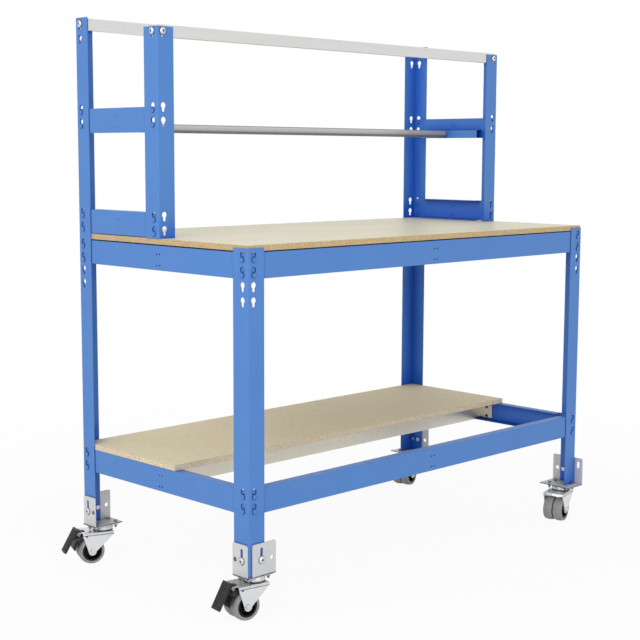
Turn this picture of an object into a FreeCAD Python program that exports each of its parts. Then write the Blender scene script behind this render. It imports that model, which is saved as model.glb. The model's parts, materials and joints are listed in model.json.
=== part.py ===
import FreeCAD, Part
import math
import os
import re
import Sketcher

# Mobile work table: an angle frame on four swivel casters, with a worktop, a half shelf and a rear upstand.
# Lengths are in millimetres. X runs along the long front, Y to the back, Z up from the floor.

SIZES = {
    # Frame outline, over the outer faces of the corner angles
    "table_length": 1510,
    "table_depth": 752,
    "upstand_depth": 382,
    # Corner angles
    "angle_flange": 58,
    "angle_sheet": 2,
    "angle_fold": 3.5,
    "front_leg_length": 882,
    "rear_upright_length": 1517,
    "post_length": 582.5,
    # Keyholes, two by two along both flanges
    "keyhole_round": 8.5,
    "keyhole_drop": 13.5,
    "keyhole_line": 21,
    "keyhole_pitch": 40,
    # Beams and step beams
    "beam_height": 70,
    "beam_sheet": 1.5,
    "beam_flange": 30,
    "beam_fold": 2.5,
    "beam_end_gap": 5,
    "beam_relief_gap": 3,
    "beam_row": 11,
    "step_height": 27,
    "step_row": 20,
    "step_end_hole": 7,
    # Small hole pairs at the middle of each beam
    "middle_hole": 2.6,
    "middle_hole_spacing": 12.5,
    "middle_row": 14,
    "middle_pitch": 32,
    # Levels above the feet of the angles, and above the worktop
    "base_rise": 168.5,
    "worktop_rise": 800.5,
    "worktop_lift": 3,
    "low_beam_gap": 1.5,
    "step_rise": 294.5,
    "post_bolt_rise": 570,
    # Boards
    "worktop_thickness": 16,
    "shelf_thickness": 16,
    "shelf_depth": 435,
    "board_margin": 1,
    # Cross channels under the boards, with a tab at each end
    "channel_sheet": 2,
    "channel_height": 70,
    "channel_flange": 28,
    "channel_setback": 35,
    "channel_end_gap": 2,
    "tab_width": 54,
    "tab_height": 46,
    "tab_hole": 4,
    # Channel between the step beams
    "rail_width": 40,
    "rail_height": 25,
    "rail_sheet": 1.5,
    "rail_lip": 8,
    "rail_setback": 30,
    # Top bars
    "bar_height": 34.4,
    "bar_sheet": 1.5,
    "bar_flange": 12,
    "bar_relief": 40,
    "bar_end_margin": 14,
    # Rivets of the beam ends
    "rivet_radius": 4.4,
    "rivet_clearance": 0.3,
    "rivet_head_radius": 6.5,
    "rivet_head_height": 2.2,
    "rivet_tail_radius": 6,
    "rivet_tail_height": 1.5,
    # Bolts of the top bars and of the foot brackets
    "bolt_radius": 4,
    "bolt_clearance": 0.3,
    "bolt_rim_radius": 10,
    "bolt_rim_height": 1.8,
    "bolt_crown_radius": 5,
    "bolt_crown_height": 3,
    "nut_radius": 7.5,
    "nut_height": 6.5,
    # Foot brackets
    "bracket_sheet": 3,
    "bracket_height": 89,
    "bracket_corner": 6,
    "bracket_bolt_rise": 43,
    "bracket_slot_rise": 58,
    "bracket_slot_length": 14,
    "bracket_slot_radius": 5,
    "bracket_hole": 6.5,
    "left_plate_length": 100,
    "left_plate_width": 64,
    "wide_flange_start": 12,
    "wide_flange_bolt": 45,
    "wide_flange_hole": 83,
    "narrow_flange_start": 2,
    "narrow_flange_bolt": 24,
    "narrow_flange_hole": 51,
    "right_plate_width": 81,
    "long_flange_front": 31,
    "long_flange_back": 89,
    "long_flange_bolt": 18,
    "long_flange_second_bolt": 42,
    "long_flange_margin": 17,
    # Caster plates and king pins
    "plate_length": 92,
    "plate_width": 60,
    "plate_sheet": 3,
    "plate_corner": 5,
    "plate_bolt_length": 70,
    "plate_bolt_width": 36,
    "plate_bolt_hole": 4.2,
    "upper_race_radius": 30,
    "upper_race_height": 11.7,
    "race_gap": 0.3,
    "pin_radius": 6,
    "pin_head_radius": 10,
    "pin_head_height": 4,
    "running_fit": 0.05,
    # Forks
    "lower_race_radius": 28,
    "lower_race_height": 3,
    "fork_sheet": 2.5,
    "fork_inside": 67,
    "fork_back": 70,
    "fork_front": 26,
    "fork_lip": 8,
    "fork_tip_radius": 12,
    "crown_clearance": 15.5,
    "trail": 41,
    # Wheels
    "wheel_radius": 40,
    "wheel_width": 64,
    "tyre_depth": 10,
    "tyre_crown": 2.5,
    "tyre_fit": 0.3,
    "hub_side_gap": 0.3,
    "hub_boss_radius": 9,
    "hub_web": 16,
    "hub_rim": 5,
    "hub_rib_width": 4,
    "hub_rib_height": 3,
    "axle_radius": 4,
    "axle_head_radius": 8,
    "axle_head_height": 5,
    # Brake pedals of the left casters
    "pedal_width": 35,
    "pedal_sheet": 9,
    "pedal_pivot_back": 58,
    "pedal_pivot_height": 88,
    "pedal_pin_radius": 3,
    "pedal_top_back": 88,
    "pedal_top_height": 110,
    "pedal_reach": 38,
    "pedal_drop": 70,
    "pedal_arm": 11,
    "pedal_arm_width": 24,
    "pedal_side_gap": 1.5,
    # Brake shoe under each pedal arm: angles about the wheel, in degrees
    "shoe_width": 50,
    "shoe_gap": 6.5,
    "shoe_low_angle": 142,
    "shoe_high_angle": 122,
    "shoe_back": 3,
    # Swivel angles at rest, in degrees
    "front_left_turn": -10,
    "rear_left_turn": -22,
    "front_right_turn": 14,
    "rear_right_turn": 14,
    # How far cutting tools run past the sheet
    "cut_margin": 5,
}

DERIVED = {
    "keyhole_slot": "rivet_radius + rivet_clearance",
    "keyhole_neck": "keyhole_drop - sqrt(keyhole_round ^ 2 - keyhole_slot ^ 2)",
    "angle_inner_fold": "angle_fold - angle_sheet",
    "beam_inner_fold": "beam_fold - beam_sheet",
    "beam_inset": "angle_sheet + beam_end_gap",
    "beam_rivet": "keyhole_line - beam_inset",
    "beam_relief": "angle_flange - beam_inset + beam_relief_gap",
    "bolt_hole": "bolt_radius + bolt_clearance",
    "post_back": "table_depth / 2 - upstand_depth",
    "axle_hole": "axle_radius + running_fit",
    "fork_width": "fork_inside + 2 * fork_sheet",
    "fork_top": "2 * wheel_radius + crown_clearance + fork_sheet",
    "race_bottom": "fork_top + lower_race_height + race_gap",
    "plate_bottom": "race_bottom + upper_race_height",
    "foot_height": "plate_bottom + plate_sheet + bracket_sheet",
    "base_beam_z": "foot_height + base_rise",
    "base_top": "base_beam_z + beam_height",
    "worktop_beam_z": "foot_height + worktop_rise",
    "worktop_bottom": "worktop_beam_z + beam_height + worktop_lift",
    "worktop_top": "worktop_bottom + worktop_thickness",
    "low_beam_z": "worktop_top + low_beam_gap",
    "step_beam_z": "worktop_top + step_rise",
    "post_bolt_z": "worktop_top + post_bolt_rise",
    "rear_bolt_z": "post_bolt_z + keyhole_pitch",
    "left_swivel_in": "left_plate_length / 2 - bracket_sheet",
    "left_swivel_back": "left_plate_width / 2 - bracket_sheet",
    "right_swivel_in": "right_plate_width / 2 - bracket_sheet",
    "right_swivel_back": "(long_flange_back - long_flange_front) / 2",
    "bar_run": "upstand_depth - 2 * keyhole_line",
    "bar_slope": "atan(keyhole_pitch / bar_run) / 1 deg",
    "side_bar_length": "sqrt(bar_run ^ 2 + keyhole_pitch ^ 2) + 2 * bar_end_margin",
    "tyre_inside": "wheel_radius - tyre_depth",
    "tyre_half_width": "(wheel_width - hub_rib_width) / 4",
    "tyre_crown_radius": "(tyre_half_width ^ 2 + tyre_crown ^ 2) / (2 * tyre_crown)",
    "hub_radius": "tyre_inside - tyre_fit",
    "boss_half": "fork_inside / 2 - hub_side_gap",
    "pedal_length": "sqrt(pedal_reach ^ 2 + pedal_drop ^ 2)",
    "pedal_in": "pedal_sheet * pedal_drop / pedal_length",
    "pedal_under": "pedal_sheet * pedal_reach / pedal_length",
    "shoe_radius": "wheel_radius + shoe_gap",
    "shoe_low_back": "trail - shoe_radius * cos(shoe_low_angle * 1 deg)",
    "shoe_low_height": "wheel_radius + shoe_radius * sin(shoe_low_angle * 1 deg)",
    "shoe_high_back": "trail - shoe_radius * cos(shoe_high_angle * 1 deg)",
    "shoe_high_height": "wheel_radius + shoe_radius * sin(shoe_high_angle * 1 deg)",
}

doc = FreeCAD.newDocument("mobile_work_table")
sheet = doc.addObject("Spreadsheet::Sheet", "Sizes")
parts = []


def fill_sheet():
    """Writes the driving sizes and what follows from them into the sheet."""
    cells = [(alias, str(number)) for alias, number in SIZES.items()]
    cells += [(alias, f"={formula}") for alias, formula in DERIVED.items()]
    for row, (alias, content) in enumerate(cells, 1):
        sheet.set(f"A{row}", alias)
        sheet.set(f"B{row}", content)
        sheet.setAlias(f"B{row}", alias)
    doc.recompute()


def bound(formula):
    """The formula with each size named as a cell of the sheet."""
    return re.sub(r"[a-z]\w*", r"Sizes.\g<0>", formula)


def size(formula):
    """The number that a formula of sizes gives."""
    return float(sheet.evalExpression(formula))


def vector(across, along, up):
    """A point from three formulas."""
    return FreeCAD.Vector(size(across), size(along), size(up))


def turned(point, angle):
    """Placement at a point, turned about the upright axis."""
    return FreeCAD.Placement(point, FreeCAD.Rotation(FreeCAD.Vector(0, 0, 1), angle))


def new_body(label, placement):
    """An empty body of the table under its own name."""
    body = doc.addObject("PartDesign::Body", label)
    body.Label = label
    body.Placement = placement
    parts.append(body)
    return body


def new_sketch(body, role, lift="0"):
    """A sketch on one of the body's origin planes, lifted along the plane's normal."""
    plane = next(feature for feature in body.Origin.OriginFeatures if feature.Role == role)
    sketch = body.newObject("Sketcher::SketchObject", f"{body.Name}_sketch")
    sketch.AttachmentSupport = [(plane, "")]
    sketch.MapMode = "FlatFace"
    sketch.setExpression("AttachmentOffset.Base.z", bound(lift))
    return sketch


def tie(sketch, constraint, formula):
    """Adds a dimension to the sketch and binds it to the sheet."""
    index = sketch.addConstraint(constraint)
    sketch.setExpression(f"Constraints[{index}]", bound(formula))


def tie_point(sketch, geometry, position, corner):
    """Binds both coordinates of a point of the sketch."""
    for kind, formula in zip(("DistanceX", "DistanceY"), corner):
        tie(sketch, Sketcher.Constraint(kind, -1, 1, geometry, position, size(formula)), formula)


def arc_between(start, end, radius, kind):
    """Arc of an anticlockwise loop: round and half bulge out, major is over a half turn, hollow cuts in."""
    chord = end - start
    left = FreeCAD.Vector(-chord.y, chord.x, 0).normalize()
    rise = math.sqrt(max(radius ** 2 - chord.Length ** 2 / 4, 0))
    centre = (start + end) / 2 + left * (rise if kind in ("round", "half") else -rise)
    first, last = (end, start) if kind == "hollow" else (start, end)
    angles = [math.atan2(point.y - centre.y, point.x - centre.x) for point in (first, last)]
    circle_line = Part.Circle(centre, FreeCAD.Vector(0, 0, 1), radius)
    return Part.ArcOfCircle(circle_line, angles[0], angles[1])


def loop(sketch, corners, arcs=None):
    """Closed anticlockwise loop through corners. arcs gives kind and radius for the edge after a corner."""
    arcs = arcs or {}
    points = [FreeCAD.Vector(size(across), size(up), 0) for across, up in corners]
    count = len(points)
    edges = []
    for index, start in enumerate(points):
        end = points[(index + 1) % count]
        kind, radius = arcs.get(index, ("line", "0"))
        if kind == "line":
            shape = Part.LineSegment(start, end)
        else:
            shape = arc_between(start, end, size(radius), kind)
        ends = (2, 1) if kind == "hollow" else (1, 2)
        edges.append((sketch.addGeometry(shape), ends))
    for index, (geometry, ends) in enumerate(edges):
        follower, follower_ends = edges[(index + 1) % count]
        sketch.addConstraint(Sketcher.Constraint("Coincident", geometry, ends[1], follower, follower_ends[0]))
        tie_point(sketch, geometry, ends[0], corners[index])
    for index, (kind, radius) in arcs.items():
        if kind == "half":
            tie_half(sketch, edges[index][0], corners[index], corners[(index + 1) % count])
        else:
            tie(sketch, Sketcher.Constraint("Radius", edges[index][0], size(radius)), radius)


def tie_half(sketch, geometry, start, end):
    """Binds a half circle's centre to the line between its ends, which is level or upright."""
    kind, formula = ("DistanceY", start[1]) if start[1] == end[1] else ("DistanceX", start[0])
    tie(sketch, Sketcher.Constraint(kind, -1, 1, geometry, 3, size(formula)), formula)


def rectangle(sketch, left, right, low, high):
    """Closed rectangle between four formulas."""
    loop(sketch, [(left, low), (right, low), (right, high), (left, high)])


def round_hole(sketch, across, up, radius):
    """Circle at a bound centre."""
    centre = FreeCAD.Vector(size(across), size(up), 0)
    geometry = sketch.addGeometry(Part.Circle(centre, FreeCAD.Vector(0, 0, 1), size(radius)))
    tie_point(sketch, geometry, 3, (across, up))
    tie(sketch, Sketcher.Constraint("Radius", geometry, size(radius)), radius)


def slot_hole(sketch, across, low, high, radius):
    """Upright slot between two end centres."""
    corners = [
        (f"{across} - {radius}", low),
        (f"{across} + {radius}", low),
        (f"{across} + {radius}", high),
        (f"{across} - {radius}", high),
    ]
    loop(sketch, corners, {0: ("half", radius), 2: ("half", radius)})


def keyhole(sketch, row):
    """Round hole that narrows into a slot below it. A rivet sits in the slot's end, at the height of row."""
    corners = [
        ("keyhole_line - keyhole_slot", row),
        ("keyhole_line + keyhole_slot", row),
        ("keyhole_line + keyhole_slot", f"{row} + keyhole_neck"),
        ("keyhole_line - keyhole_slot", f"{row} + keyhole_neck"),
    ]
    loop(sketch, corners, {0: ("half", "keyhole_slot"), 2: ("major", "keyhole_round")})


def feature(body, kind, sketch, length, reverse=False, symmetric=False):
    """Pad or pocket of a sketch with a bound length."""
    result = body.newObject(f"PartDesign::{kind}", f"{body.Name}_{kind.lower()}")
    result.Profile = sketch
    result.setExpression("Length", bound(length))
    result.Reversed = reverse
    result.SideType = "Symmetric" if symmetric else "One side"
    return result


def revolve(body, sketch):
    """Full turn of a sketch about its upright axis."""
    result = body.newObject("PartDesign::Revolution", f"{body.Name}_revolution")
    result.Profile = sketch
    result.ReferenceAxis = (sketch, ["V_Axis"])


def corner_frame(corner, height="0"):
    """Placement at an outer corner of the frame: X along the side that starts there, Y inward."""
    across, back, turn = CORNERS[corner]
    return turned(vector(across, back, height), turn)


def rows(start, first, last):
    """Heights of a run of keyholes at the common pitch."""
    return [f"{start} + {step} * keyhole_pitch" for step in range(first, last + 1)]


def corner_angle(label, corner, foot, length, heights, bolts):
    """Folded angle with keyholes in both flanges and bolt holes for a foot bracket."""
    body = new_body(label, corner_frame(corner, foot))
    profile = new_sketch(body, "XY_Plane")
    corners = [
        ("angle_fold", "0"),
        ("angle_flange", "0"),
        ("angle_flange", "angle_sheet"),
        ("angle_fold", "angle_sheet"),
        ("angle_sheet", "angle_fold"),
        ("angle_sheet", "angle_flange"),
        ("0", "angle_flange"),
        ("0", "angle_fold"),
    ]
    loop(profile, corners, {3: ("hollow", "angle_inner_fold"), 7: ("round", "angle_fold")})
    feature(body, "Pad", profile, length)
    for role, places in zip(("XZ_Plane", "YZ_Plane"), bolts):
        holes = new_sketch(body, role)
        for height in heights:
            keyhole(holes, height)
        for place in places:
            round_hole(holes, place, "bracket_bolt_rise", "bolt_hole")
        feature(body, "Pocket", holes, "angle_flange", reverse=role == "YZ_Plane")


def channel_section(sketch, flange, low, high, wall, fold, inner_fold):
    """Section of a folded channel: web on the outer face, both flanges inward, rounded folds."""
    corners = [
        (fold, low),
        (flange, low),
        (flange, f"{low} + {wall}"),
        (fold, f"{low} + {wall}"),
        (wall, f"{low} + {fold}"),
        (wall, f"{high} - {fold}"),
        (fold, f"{high} - {wall}"),
        (flange, f"{high} - {wall}"),
        (flange, high),
        (fold, high),
        ("0", f"{high} - {fold}"),
        ("0", f"{low} + {fold}"),
    ]
    arcs = {
        3: ("hollow", inner_fold),
        5: ("hollow", inner_fold),
        9: ("round", fold),
        11: ("round", fold),
    }
    loop(sketch, corners, arcs)


def step_section(sketch):
    """Section of a step beam: full web outside, closed step along the lower edge inside."""
    outer = [
        ("0", "0"),
        ("beam_flange", "0"),
        ("beam_flange", "step_height"),
        ("beam_sheet", "step_height"),
        ("beam_sheet", "beam_height"),
        ("0", "beam_height"),
    ]
    loop(sketch, outer)
    rectangle(sketch, "beam_sheet", "beam_flange - beam_sheet", "beam_sheet", "step_height - beam_sheet")


def cut_relief(body, length, relief, wall, flange):
    """Takes the flanges away at both ends, so that only the web reaches into the corner angle."""
    ends = new_sketch(body, "XY_Plane", "-beam_height")
    rectangle(ends, "-cut_margin", relief, wall, f"{flange} + cut_margin")
    rectangle(ends, f"{length} - {relief}", f"{length} + cut_margin", wall, f"{flange} + cut_margin")
    feature(body, "Pocket", ends, "3 * beam_height", reverse=True)


def beam(label, corner, height, length, row, stepped=False):
    """Folded beam whose web lies against the inside of the corner angles."""
    seat = FreeCAD.Placement(vector("beam_inset", "angle_sheet", height), FreeCAD.Rotation())
    body = new_body(label, corner_frame(corner).multiply(seat))
    section = new_sketch(body, "YZ_Plane")
    if stepped:
        step_section(section)
    else:
        channel_section(section, "beam_flange", "0", "beam_height", "beam_sheet", "beam_fold",
                        "beam_inner_fold")
    feature(body, "Pad", section, length)
    cut_relief(body, length, "beam_relief", "beam_sheet", "beam_flange")
    holes = new_sketch(body, "XZ_Plane")
    for end in ("beam_rivet", f"{length} - beam_rivet"):
        for step in range(2):
            round_hole(holes, end, f"{row} + {step} * keyhole_pitch", "keyhole_slot")
        if stepped:
            round_hole(holes, end, f"{row} + keyhole_drop", "step_end_hole")
    for side in ("-", "+"):
        for step in range(2):
            across = f"{length} / 2 {side} middle_hole_spacing / 2"
            round_hole(holes, across, f"middle_row + {step} * middle_pitch", "middle_hole")
    feature(body, "Pocket", holes, "2 * beam_sheet")
    return body.Placement


def rivet():
    """Rivet along Y: head outside the angle, shank through keyhole slot and web, tail inside."""
    runs = [
        ("rivet_head_radius", "-angle_sheet - rivet_head_height", "rivet_head_height"),
        ("rivet_radius", "-angle_sheet", "angle_sheet + beam_sheet"),
        ("rivet_tail_radius", "beam_sheet", "rivet_tail_height"),
    ]
    return fused_cylinders(runs)


def fused_cylinders(runs):
    """One solid of cylinders in a row along Y, each with its radius, start and length."""
    direction = FreeCAD.Vector(0, 1, 0)
    solids = [
        Part.makeCylinder(size(radius), size(length), vector("0", start, "0"), direction)
        for radius, start, length in runs
    ]
    return solids[0].fuse(solids[1:]).removeSplitter()


def group(label, solids):
    """Node that holds equal fasteners as separate solids."""
    node = doc.addObject("Part::Feature", label)
    node.Label = label
    node.Shape = Part.makeCompound(solids)
    parts.append(node)


def moved(solid, placement, across, up):
    """Copy of a fastener at a point of a rail's web."""
    copy = solid.copy()
    local = FreeCAD.Placement(vector(across, "0", up), FreeCAD.Rotation())
    copy.Placement = placement.multiply(local)
    return copy


def beam_set(level, members):
    """Beams of one level and the group of rivets at their ends."""
    rivets = []
    for name, corner, height, length, row, stepped in members:
        placement = beam(f"{name}_beam", corner, height, length, row, stepped)
        for end in ("beam_rivet", f"{length} - beam_rivet"):
            for step in range(2):
                rivets.append(moved(rivet(), placement, end, f"{row} + {step} * keyhole_pitch"))
    group(f"{level}_rivets", rivets)


def bar(label, placement, length, bolt):
    """Galvanised bar: shallow folded channel with a bolt hole at each end."""
    body = new_body(label, placement)
    section = new_sketch(body, "YZ_Plane")
    channel_section(section, "bar_flange", "-bar_height / 2", "bar_height / 2", "bar_sheet", "beam_fold",
                    "beam_fold - bar_sheet")
    feature(body, "Pad", section, length)
    cut_relief(body, length, "bar_relief", "bar_sheet", "bar_flange")
    holes = new_sketch(body, "XZ_Plane")
    for end in (bolt, f"{length} - {bolt}"):
        round_hole(holes, end, "0", "bolt_hole")
    feature(body, "Pocket", holes, "2 * bar_sheet")


def bolt(outer, inner):
    """Bolt along Y: crowned head before the outer face, nut behind the inner one."""
    direction = FreeCAD.Vector(0, 1, 0)
    crown_start = vector("0", f"{outer} - bolt_rim_height", "0")
    crown_sizes = [size(name) for name in ("bolt_rim_radius", "bolt_crown_radius", "bolt_crown_height")]
    crown = Part.makeCone(*crown_sizes, crown_start, -direction)
    runs = [
        ("bolt_rim_radius", f"{outer} - bolt_rim_height", "bolt_rim_height"),
        ("bolt_radius", outer, f"{inner} - ({outer})"),
    ]
    nut_start = vector("0", inner, "0")
    corners = [
        nut_start + FreeCAD.Vector(math.cos(turn), 0, math.sin(turn)) * size("nut_radius")
        for turn in (math.radians(60 * corner) for corner in range(7))
    ]
    nut = Part.Face(Part.makePolygon(corners)).extrude(direction * size("nut_height"))
    return fused_cylinders(runs).fuse([crown, nut]).removeSplitter()


def top_bars():
    """Bars that tie the heads of the posts and uprights together, and their bolts."""
    bolts = []
    level_length = "table_length - 2 * beam_inset"
    fastener = bolt("-angle_sheet", "bar_sheet")
    for label, corner, height in (("top_front_bar", "left_post", "post_bolt_z"),
                                  ("top_rear_bar", "rear_right", "rear_bolt_z")):
        seat = FreeCAD.Placement(vector("beam_inset", "angle_sheet", height), FreeCAD.Rotation())
        placement = corner_frame(corner).multiply(seat)
        bar(label, placement, level_length, "beam_rivet")
        for end in ("beam_rivet", f"{level_length} - beam_rivet"):
            bolts.append(moved(fastener, placement, end, "0"))
    for label, corner, height, sign in (("top_left_bar", "rear_left", "rear_bolt_z", 1),
                                        ("top_right_bar", "right_post", "post_bolt_z", -1)):
        tilt = FreeCAD.Rotation(FreeCAD.Vector(0, 1, 0), sign * size("bar_slope"))
        seat = FreeCAD.Placement(vector("keyhole_line", "angle_sheet", height), tilt)
        start = FreeCAD.Placement(vector("-bar_end_margin", "0", "0"), FreeCAD.Rotation())
        placement = corner_frame(corner).multiply(seat).multiply(start)
        bar(label, placement, "side_bar_length", "bar_end_margin")
        for end in ("bar_end_margin", "side_bar_length - bar_end_margin"):
            bolts.append(moved(fastener, placement, end, "0"))
    group("top_bar_bolts", bolts)


def board(label, front, bottom, thickness):
    """Flat board that fills the frame between its corner angles, from a front edge to the rear."""
    node = doc.addObject("Part::Box", label)
    node.Label = label
    inset = "angle_sheet + board_margin"
    node.setExpression("Length", bound(f"table_length - 2 * ({inset})"))
    node.setExpression("Width", bound(f"table_depth / 2 - ({inset}) - ({front})"))
    node.setExpression("Height", bound(thickness))
    node.Placement = turned(vector(f"-table_length / 2 + {inset}", front, bottom), 0)
    parts.append(node)


def cross_channel(label, top, beam_height_start):
    """Galvanised channel across the frame under a board, with end tabs turned onto the side beams' webs."""
    placement = turned(vector("0", "channel_setback", f"{top} - channel_height"), 0)
    body = new_body(label, placement)
    reach = "(table_length / 2 - angle_sheet - beam_sheet)"
    run = "(table_length / 2 - angle_sheet - beam_flange - channel_end_gap)"
    section = new_sketch(body, "YZ_Plane")
    channel_section(section, "channel_flange", "0", "channel_height", "channel_sheet", "beam_fold",
                    "beam_fold - channel_sheet")
    feature(body, "Pad", section, f"2 * {run}", symmetric=True)
    rise = f"({beam_height_start} - ({top} - channel_height))"
    low = f"({rise} + middle_row + middle_pitch / 2 - tab_height / 2)"
    necks = new_sketch(body, "XZ_Plane")
    rectangle(necks, f"-{reach}", reach, low, f"{low} + tab_height")
    feature(body, "Pad", necks, "channel_sheet", reverse=True)
    tabs = new_sketch(body, "YZ_Plane", reach)
    rectangle(tabs, "-tab_width + channel_sheet", "channel_sheet", low, f"{low} + tab_height")
    for step in range(2):
        up = f"{rise} + middle_row + {step} * middle_pitch"
        round_hole(tabs, "middle_hole_spacing / 2 - channel_setback", up, "tab_hole")
    right_tab = feature(body, "Pad", tabs, "channel_sheet", reverse=True)
    mirrored = body.newObject("PartDesign::Mirrored", f"{label}_mirrored")
    mirrored.Originals = [right_tab]
    mirrored.MirrorPlane = (next(f for f in body.Origin.OriginFeatures if f.Role == "YZ_Plane"), [""])
    body.Tip = mirrored


def step_rail(label):
    """Galvanised lipped channel between the step beams, open below, closed by a plate at each end."""
    middle = "table_depth / 2 - upstand_depth / 2 + rail_setback"
    placement = turned(vector("0", middle, "step_beam_z + step_height - rail_height"), 0)
    body = new_body(label, placement)
    reach = "(table_length / 2 - angle_sheet - beam_flange)"
    half = "rail_width / 2"
    inner = "rail_width / 2 - rail_sheet"
    section = new_sketch(body, "YZ_Plane")
    corners = [
        (f"-{half}", "0"),
        (f"-{half} + rail_lip", "0"),
        (f"-{half} + rail_lip", "rail_sheet"),
        (f"-({inner})", "rail_sheet"),
        (f"-({inner})", "rail_height - rail_sheet"),
        (inner, "rail_height - rail_sheet"),
        (inner, "rail_sheet"),
        (f"{half} - rail_lip", "rail_sheet"),
        (f"{half} - rail_lip", "0"),
        (half, "0"),
        (half, "rail_height"),
        (f"-{half}", "rail_height"),
    ]
    loop(section, corners)
    feature(body, "Pad", section, f"2 * {reach}", symmetric=True)
    plate = new_sketch(body, "YZ_Plane", reach)
    rectangle(plate, f"-{half}", half, "0", "rail_height")
    right_plate = feature(body, "Pad", plate, "rail_sheet", reverse=True)
    mirrored = body.newObject("PartDesign::Mirrored", f"{label}_mirrored")
    mirrored.Originals = [right_plate]
    mirrored.MirrorPlane = (next(f for f in body.Origin.OriginFeatures if f.Role == "YZ_Plane"), [""])
    body.Tip = mirrored


def bracket_flange(body, role, start, end, slot, hole, bolts):
    """Upright flange of a foot bracket with rounded top corners, a slot, a hole and bolt holes."""
    sketch = new_sketch(body, role)
    top = "bracket_height"
    corners = [
        (start, "-bracket_sheet"),
        (end, "-bracket_sheet"),
        (end, f"{top} - bracket_corner"),
        (f"{end} - bracket_corner", top),
        (f"{start} + bracket_corner", top),
        (start, f"{top} - bracket_corner"),
    ]
    loop(sketch, corners, {2: ("round", "bracket_corner"), 4: ("round", "bracket_corner")})
    slot_end = "bracket_slot_rise + bracket_slot_length"
    slot_hole(sketch, slot, "bracket_slot_rise", slot_end, "bracket_slot_radius")
    round_hole(sketch, hole, "bracket_bolt_rise", "bracket_hole")
    for place in bolts:
        round_hole(sketch, place, "bracket_bolt_rise", "bolt_hole")
    feature(body, "Pad", sketch, "bracket_sheet", reverse=role == "YZ_Plane")


def foot_bracket(foot):
    """Zinc bracket that holds a caster under a corner angle."""
    body = new_body(f"{foot.name}_bracket", corner_frame(foot.name, "foot_height"))
    plate = new_sketch(body, "XY_Plane")
    sides = [f"{foot.plate_in} {sign} {foot.plate_length} / 2" for sign in ("-", "+")]
    ends = [f"{foot.plate_back} {sign} {foot.plate_width} / 2" for sign in ("-", "+")]
    rectangle(plate, *sides, *ends)
    for across in ("-", "+"):
        for back in ("-", "+"):
            round_hole(plate, f"{foot.plate_in} {across} {foot.hole_length} / 2",
                       f"{foot.plate_back} {back} {foot.hole_width} / 2", "plate_bolt_hole")
    feature(body, "Pad", plate, "bracket_sheet", reverse=True)
    for role, flange in zip(("XZ_Plane", "YZ_Plane"), foot.flanges):
        if flange:
            bracket_flange(body, role, *FLANGES[flange])


def foot_bolts():
    """Bolts that hold the brackets to the corner angles."""
    fastener = bolt("-bracket_sheet", "angle_sheet")
    solids = []
    for foot in FEET:
        frame = corner_frame(foot.name, "foot_height")
        swap = FreeCAD.Placement(FreeCAD.Vector(), FreeCAD.Rotation(FreeCAD.Vector(0, 0, 1), -90))
        for flange, across in zip(foot.flanges, (True, False)):
            for place in FLANGES[flange][-1] if flange else ():
                if across:
                    solids.append(moved(fastener, frame, place, "bracket_bolt_rise"))
                else:
                    solids.append(moved(fastener, frame.multiply(swap), f"-({place})", "bracket_bolt_rise"))
    group("foot_bolts", solids)


class Foot:
    """One foot of the table: its bracket's plate and flanges, and its caster's place, turn and brake."""

    def __init__(self, name, flanges, turn, braked):
        self.name = name
        self.flanges = flanges
        self.turn = turn
        self.braked = braked
        lengthwise = flanges[0] in ("wide", "long")
        wide = "left" if braked else "right"
        names = {
            "left": ("left_plate_length", "left_plate_width", "left_swivel_in", "left_swivel_back"),
            "right": ("(long_flange_front + long_flange_back)", "right_plate_width", "right_swivel_back",
                      "right_swivel_in"),
        }
        length, width, place_in, place_back = names[wide]
        self.plate_length, self.plate_width = (length, width) if lengthwise else (width, length)
        self.plate_in, self.plate_back = (place_in, place_back) if lengthwise else (place_back, place_in)
        holes = ("plate_bolt_length", "plate_bolt_width")
        self.hole_length, self.hole_width = holes if lengthwise else holes[::-1]
        self.lengthwise = lengthwise

    def swivel(self):
        """Point on the floor under the swivel axis."""
        local = vector(self.plate_in, self.plate_back, "0")
        return corner_frame(self.name).multVec(local)


def caster_plate(foot):
    """Top plate with the upper race and the king pin that carries the fork."""
    frame = turned(foot.swivel(), CORNERS[foot.name][2] + (0 if foot.lengthwise else 90))
    body = new_body(f"{foot.name}_caster_plate", frame)
    plate = new_sketch(body, "XY_Plane", "plate_bottom")
    half_length = "plate_length / 2"
    half_width = "plate_width / 2"
    corners = [
        (f"-{half_length} + plate_corner", f"-{half_width}"),
        (f"{half_length} - plate_corner", f"-{half_width}"),
        (half_length, f"-{half_width} + plate_corner"),
        (half_length, f"{half_width} - plate_corner"),
        (f"{half_length} - plate_corner", half_width),
        (f"-{half_length} + plate_corner", half_width),
        (f"-{half_length}", f"{half_width} - plate_corner"),
        (f"-{half_length}", f"-{half_width} + plate_corner"),
    ]
    loop(plate, corners, {index: ("round", "plate_corner") for index in (1, 3, 5, 7)})
    for across in ("-", "+"):
        for back in ("-", "+"):
            centre = (f"{across}plate_bolt_length / 2", f"{back}plate_bolt_width / 2")
            round_hole(plate, *centre, "plate_bolt_hole")
    feature(body, "Pad", plate, "plate_sheet")
    pin = new_sketch(body, "XZ_Plane")
    head_top = "(fork_top - fork_sheet - race_gap)"
    corners = [
        ("0", f"{head_top} - pin_head_height"),
        ("pin_head_radius", f"{head_top} - pin_head_height"),
        ("pin_head_radius", head_top),
        ("pin_radius", head_top),
        ("pin_radius", "race_bottom"),
        ("upper_race_radius", "race_bottom"),
        ("upper_race_radius", "race_bottom + upper_race_height / 2"),
        ("lower_race_radius", "plate_bottom"),
        ("0", "plate_bottom"),
    ]
    loop(pin, corners)
    revolve(body, pin)


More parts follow.
